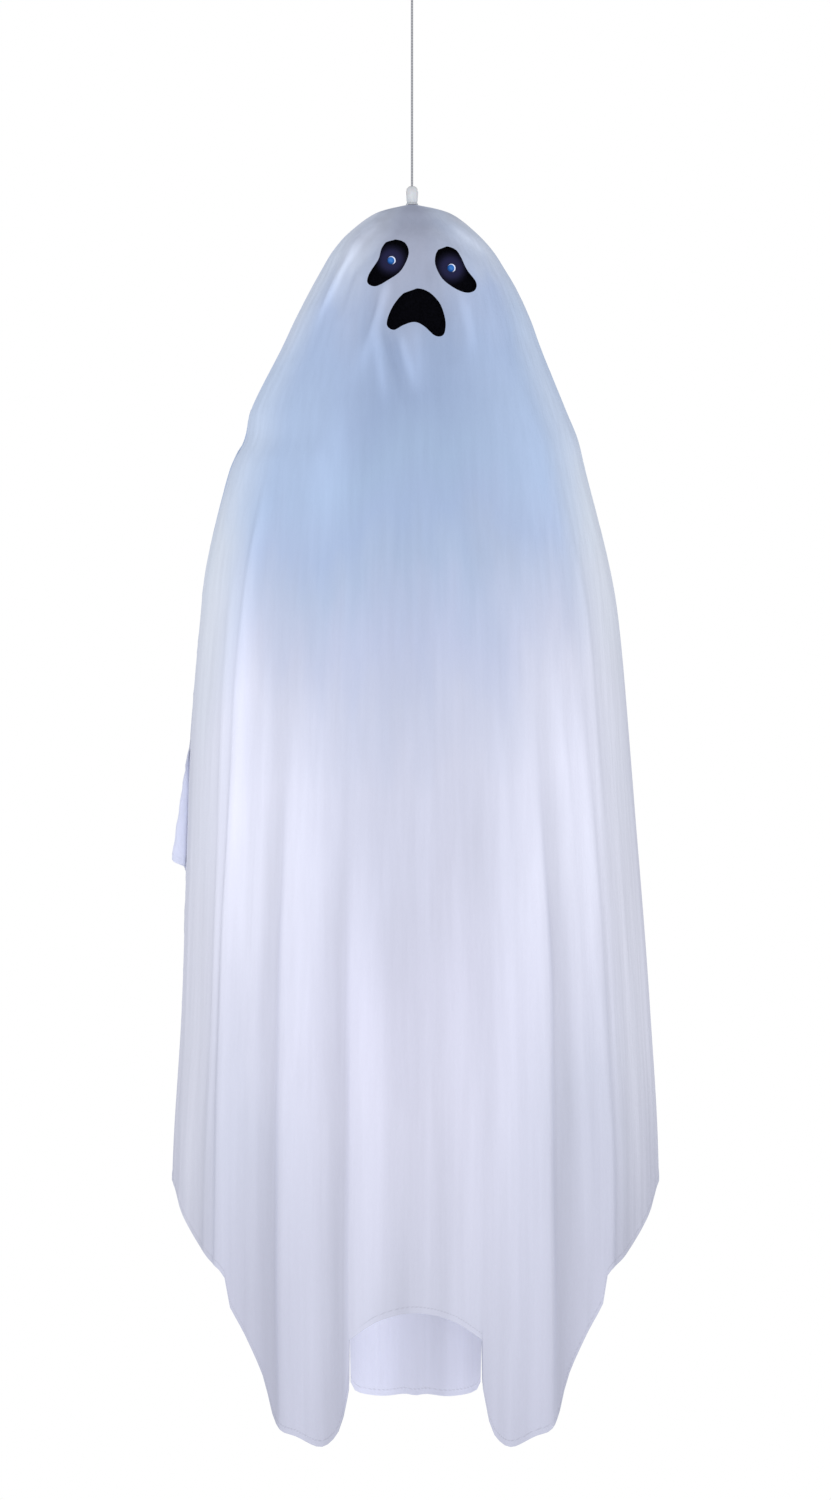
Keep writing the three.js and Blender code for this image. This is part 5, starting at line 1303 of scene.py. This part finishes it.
def eye_lens():
    """Clear blue epoxy dome, lit from inside: a mid blue that darkens towards its edge, and a painted
    highlight, a pale crescent that glows towards the ghost's upper left."""
    material, add = new_material("Lit blue epoxy")
    place = add("TexCoord").outputs["Object"]
    nearest = []
    for across, up in ((0, 0), PAINTED_HIGHLIGHT_OFFSET):
        distances = []
        for _, x, drop in EYE_LIGHTS:
            centre = Vector((-x - across, 0, drop - CROWN - up)) * MM
            flat = add("Mapping", [place], Location=centre, Scale=(1, 0, 1))
            distances.append(add("VectorMath", [flat], operation="LENGTH"))
        nearest.append(add("Math", [far.outputs["Value"] for far in distances], operation="MINIMUM"))
    share = add("MapRange", [nearest[0]], From_Max=EYE_LIGHT / 2 * MM)
    blue = add("ValToRGB", [share], [(0.0, "#1c528f"), (0.6, "#184a84"), (1.0, "#112f63")])
    # A painted highlight: the pale crescent, set into the lens's glow
    pale = add(
        "MapRange", [nearest[1]], interpolation_type="SMOOTHSTEP", From_Min=0.0044,
        From_Max=0.0050,
    )
    glow = add("Mix", [(0, pale), (6, blue), (7, linear("#e4ecff"))], data_type="RGBA")
    shader = add(
        "BsdfPrincipled", [("Base Color", blue), ("Emission Color", glow.outputs[2])], Roughness=0.35,
        Specular_IOR_Level=0.2, Emission_Strength=1.0,
    )
    return surfaced(material, shader)


def dress(piece, material):
    piece.data.materials.clear()
    piece.data.materials.append(material)


# The lamps look at the ghost's middle. Each has a place round it and a size, in metres, and a power in
# watts. The white surround adds its own light.
LAMPS_DROP = 700
LAMPS = [
    ("Key", (-1.8, -4.2, 0.9), 1.6, 40),
    ("Front", (0.3, -4.7, -0.9), 1.4, 66),
    ("Left side", (-3.6, -1.2, 0.1), 2.0, 16),
    ("Right side", (3.6, -1.2, 0.1), 2.0, 26),
    ("Back", (-0.6, 4.2, 0.9), 2.6, 60),
]
SURROUND = 0.55


def build_lighting():
    """A white surround that lights the ghost softly, and large lamps."""
    world = bpy.data.worlds.new("Studio")
    bpy.context.scene.world = world
    world.use_nodes = True
    tree = world.node_tree
    tree.nodes.clear()
    add = functools.partial(add_node, tree)
    ray = add("LightPath")
    seen = add("Math", [ray.outputs["Is Camera Ray"], ray.outputs["Is Glossy Ray"]], operation="MAXIMUM")
    seen = add("Math", [seen, ray.outputs["Is Transmission Ray"]], operation="MAXIMUM")
    dim = add("Background", Color=(1, 1, 1, 1), Strength=SURROUND)
    white = add("Background", Color=(1, 1, 1, 1), Strength=1.0)
    mixed = add("MixShader", [seen, dim, white])
    add("OutputWorld", [mixed])

    middle = Vector((0, 0, (CROWN - LAMPS_DROP) * MM))
    for name, place, size, power in LAMPS:
        lamp = bpy.data.lights.new(name, "AREA")
        lamp.shape = "DISK"
        lamp.size = size
        lamp.energy = power
        holder = linked(name, lamp)
        holder.location = middle + Vector(place)
        holder.rotation_euler = (middle - holder.location).to_track_quat("-Z", "Y").to_euler()


def floor_paint():
    """Flat pale emulsion, which shows only the ghost's soft shadow. It is laid on the upper side alone, so
    that the ghost can be looked at from below."""
    material = finish("Flat floor emulsion", "#f2f2f4", "#f4f4f6", 60, 9, 0.1, 0.9)
    add = functools.partial(add_node, material.node_tree)
    output = material.node_tree.nodes["Material Output"]
    paint = material.node_tree.nodes["Principled BSDF"]
    side = add("NewGeometry")
    clear = add("BsdfTransparent")
    mixed = add("MixShader", [side.outputs["Backfacing"], paint, clear])
    material.node_tree.links.new(mixed.outputs[0], output.inputs["Surface"])
    return material


# The floor below the ghost, in metres
FLOOR_RADIUS = 2.2
FLOOR_LEVEL = -2.35


def build_floor():
    bpy.ops.mesh.primitive_circle_add(
        vertices=96, radius=FLOOR_RADIUS, fill_type="NGON", location=(0, 0, FLOOR_LEVEL),
    )
    floor = bpy.context.active_object
    floor.name = "floor"
    floor.data.transform(floor.matrix_world)
    floor.matrix_world = Matrix.Identity(4)
    dress(floor, floor_paint())


# The camera: to the side of the cord's line, in front of it and below the crown, and its lens
CAMERA_SIDE = 4.3
CAMERA_AWAY = 8000
CAMERA_DROP = 671.1
CAMERA_LENS = 155.97


def build_camera():
    """The photograph's view: level and square to the front."""
    camera = bpy.data.cameras.new("Camera")
    camera.sensor_fit = "AUTO"
    camera.sensor_width = 36
    camera.lens = CAMERA_LENS
    holder = linked("Camera", camera)
    holder.location = Vector((CAMERA_SIDE, -CAMERA_AWAY, CROWN - CAMERA_DROP)) * MM
    holder.rotation_euler = (math.pi / 2, 0, 0)
    bpy.context.scene.camera = holder


build_camera()
hanger = build_hanger()
cord = build_cord()
ferrule = build_ferrule()
front, back = build_shroud()
cape = build_cape()
liner = build_liner()
cloth = woven_cloth("Brushed polyester cloth", False)
for panel in (front, back):
    dress(panel, cloth)
dress(cape, woven_cloth("Brushed polyester cloth, free edge", True))
dress(cord, braided_cord())
plastics = finishes()
dress(ferrule, plastics["pale_abs"])
for fitting in (*hanger, build_hoop(), build_switch_cap(), build_button(), build_diffuser()):
    dress(fitting, plastics[fitting["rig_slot"]])
dress(liner, face_mesh_cloth())
for row in frame["record"]["subparts"]:
    node = nodes[row["node"]]
    if not node.hide_render and row["material_slot"] in plastics:
        dress(node, plastics[row["material_slot"]])
lens = eye_lens()
for side, _, _ in EYE_LIGHTS:
    dress(bpy.data.objects["eye_light_" + side], lens)
build_lighting()
build_floor()

scene = bpy.context.scene
scene.view_settings.view_transform = "Standard"
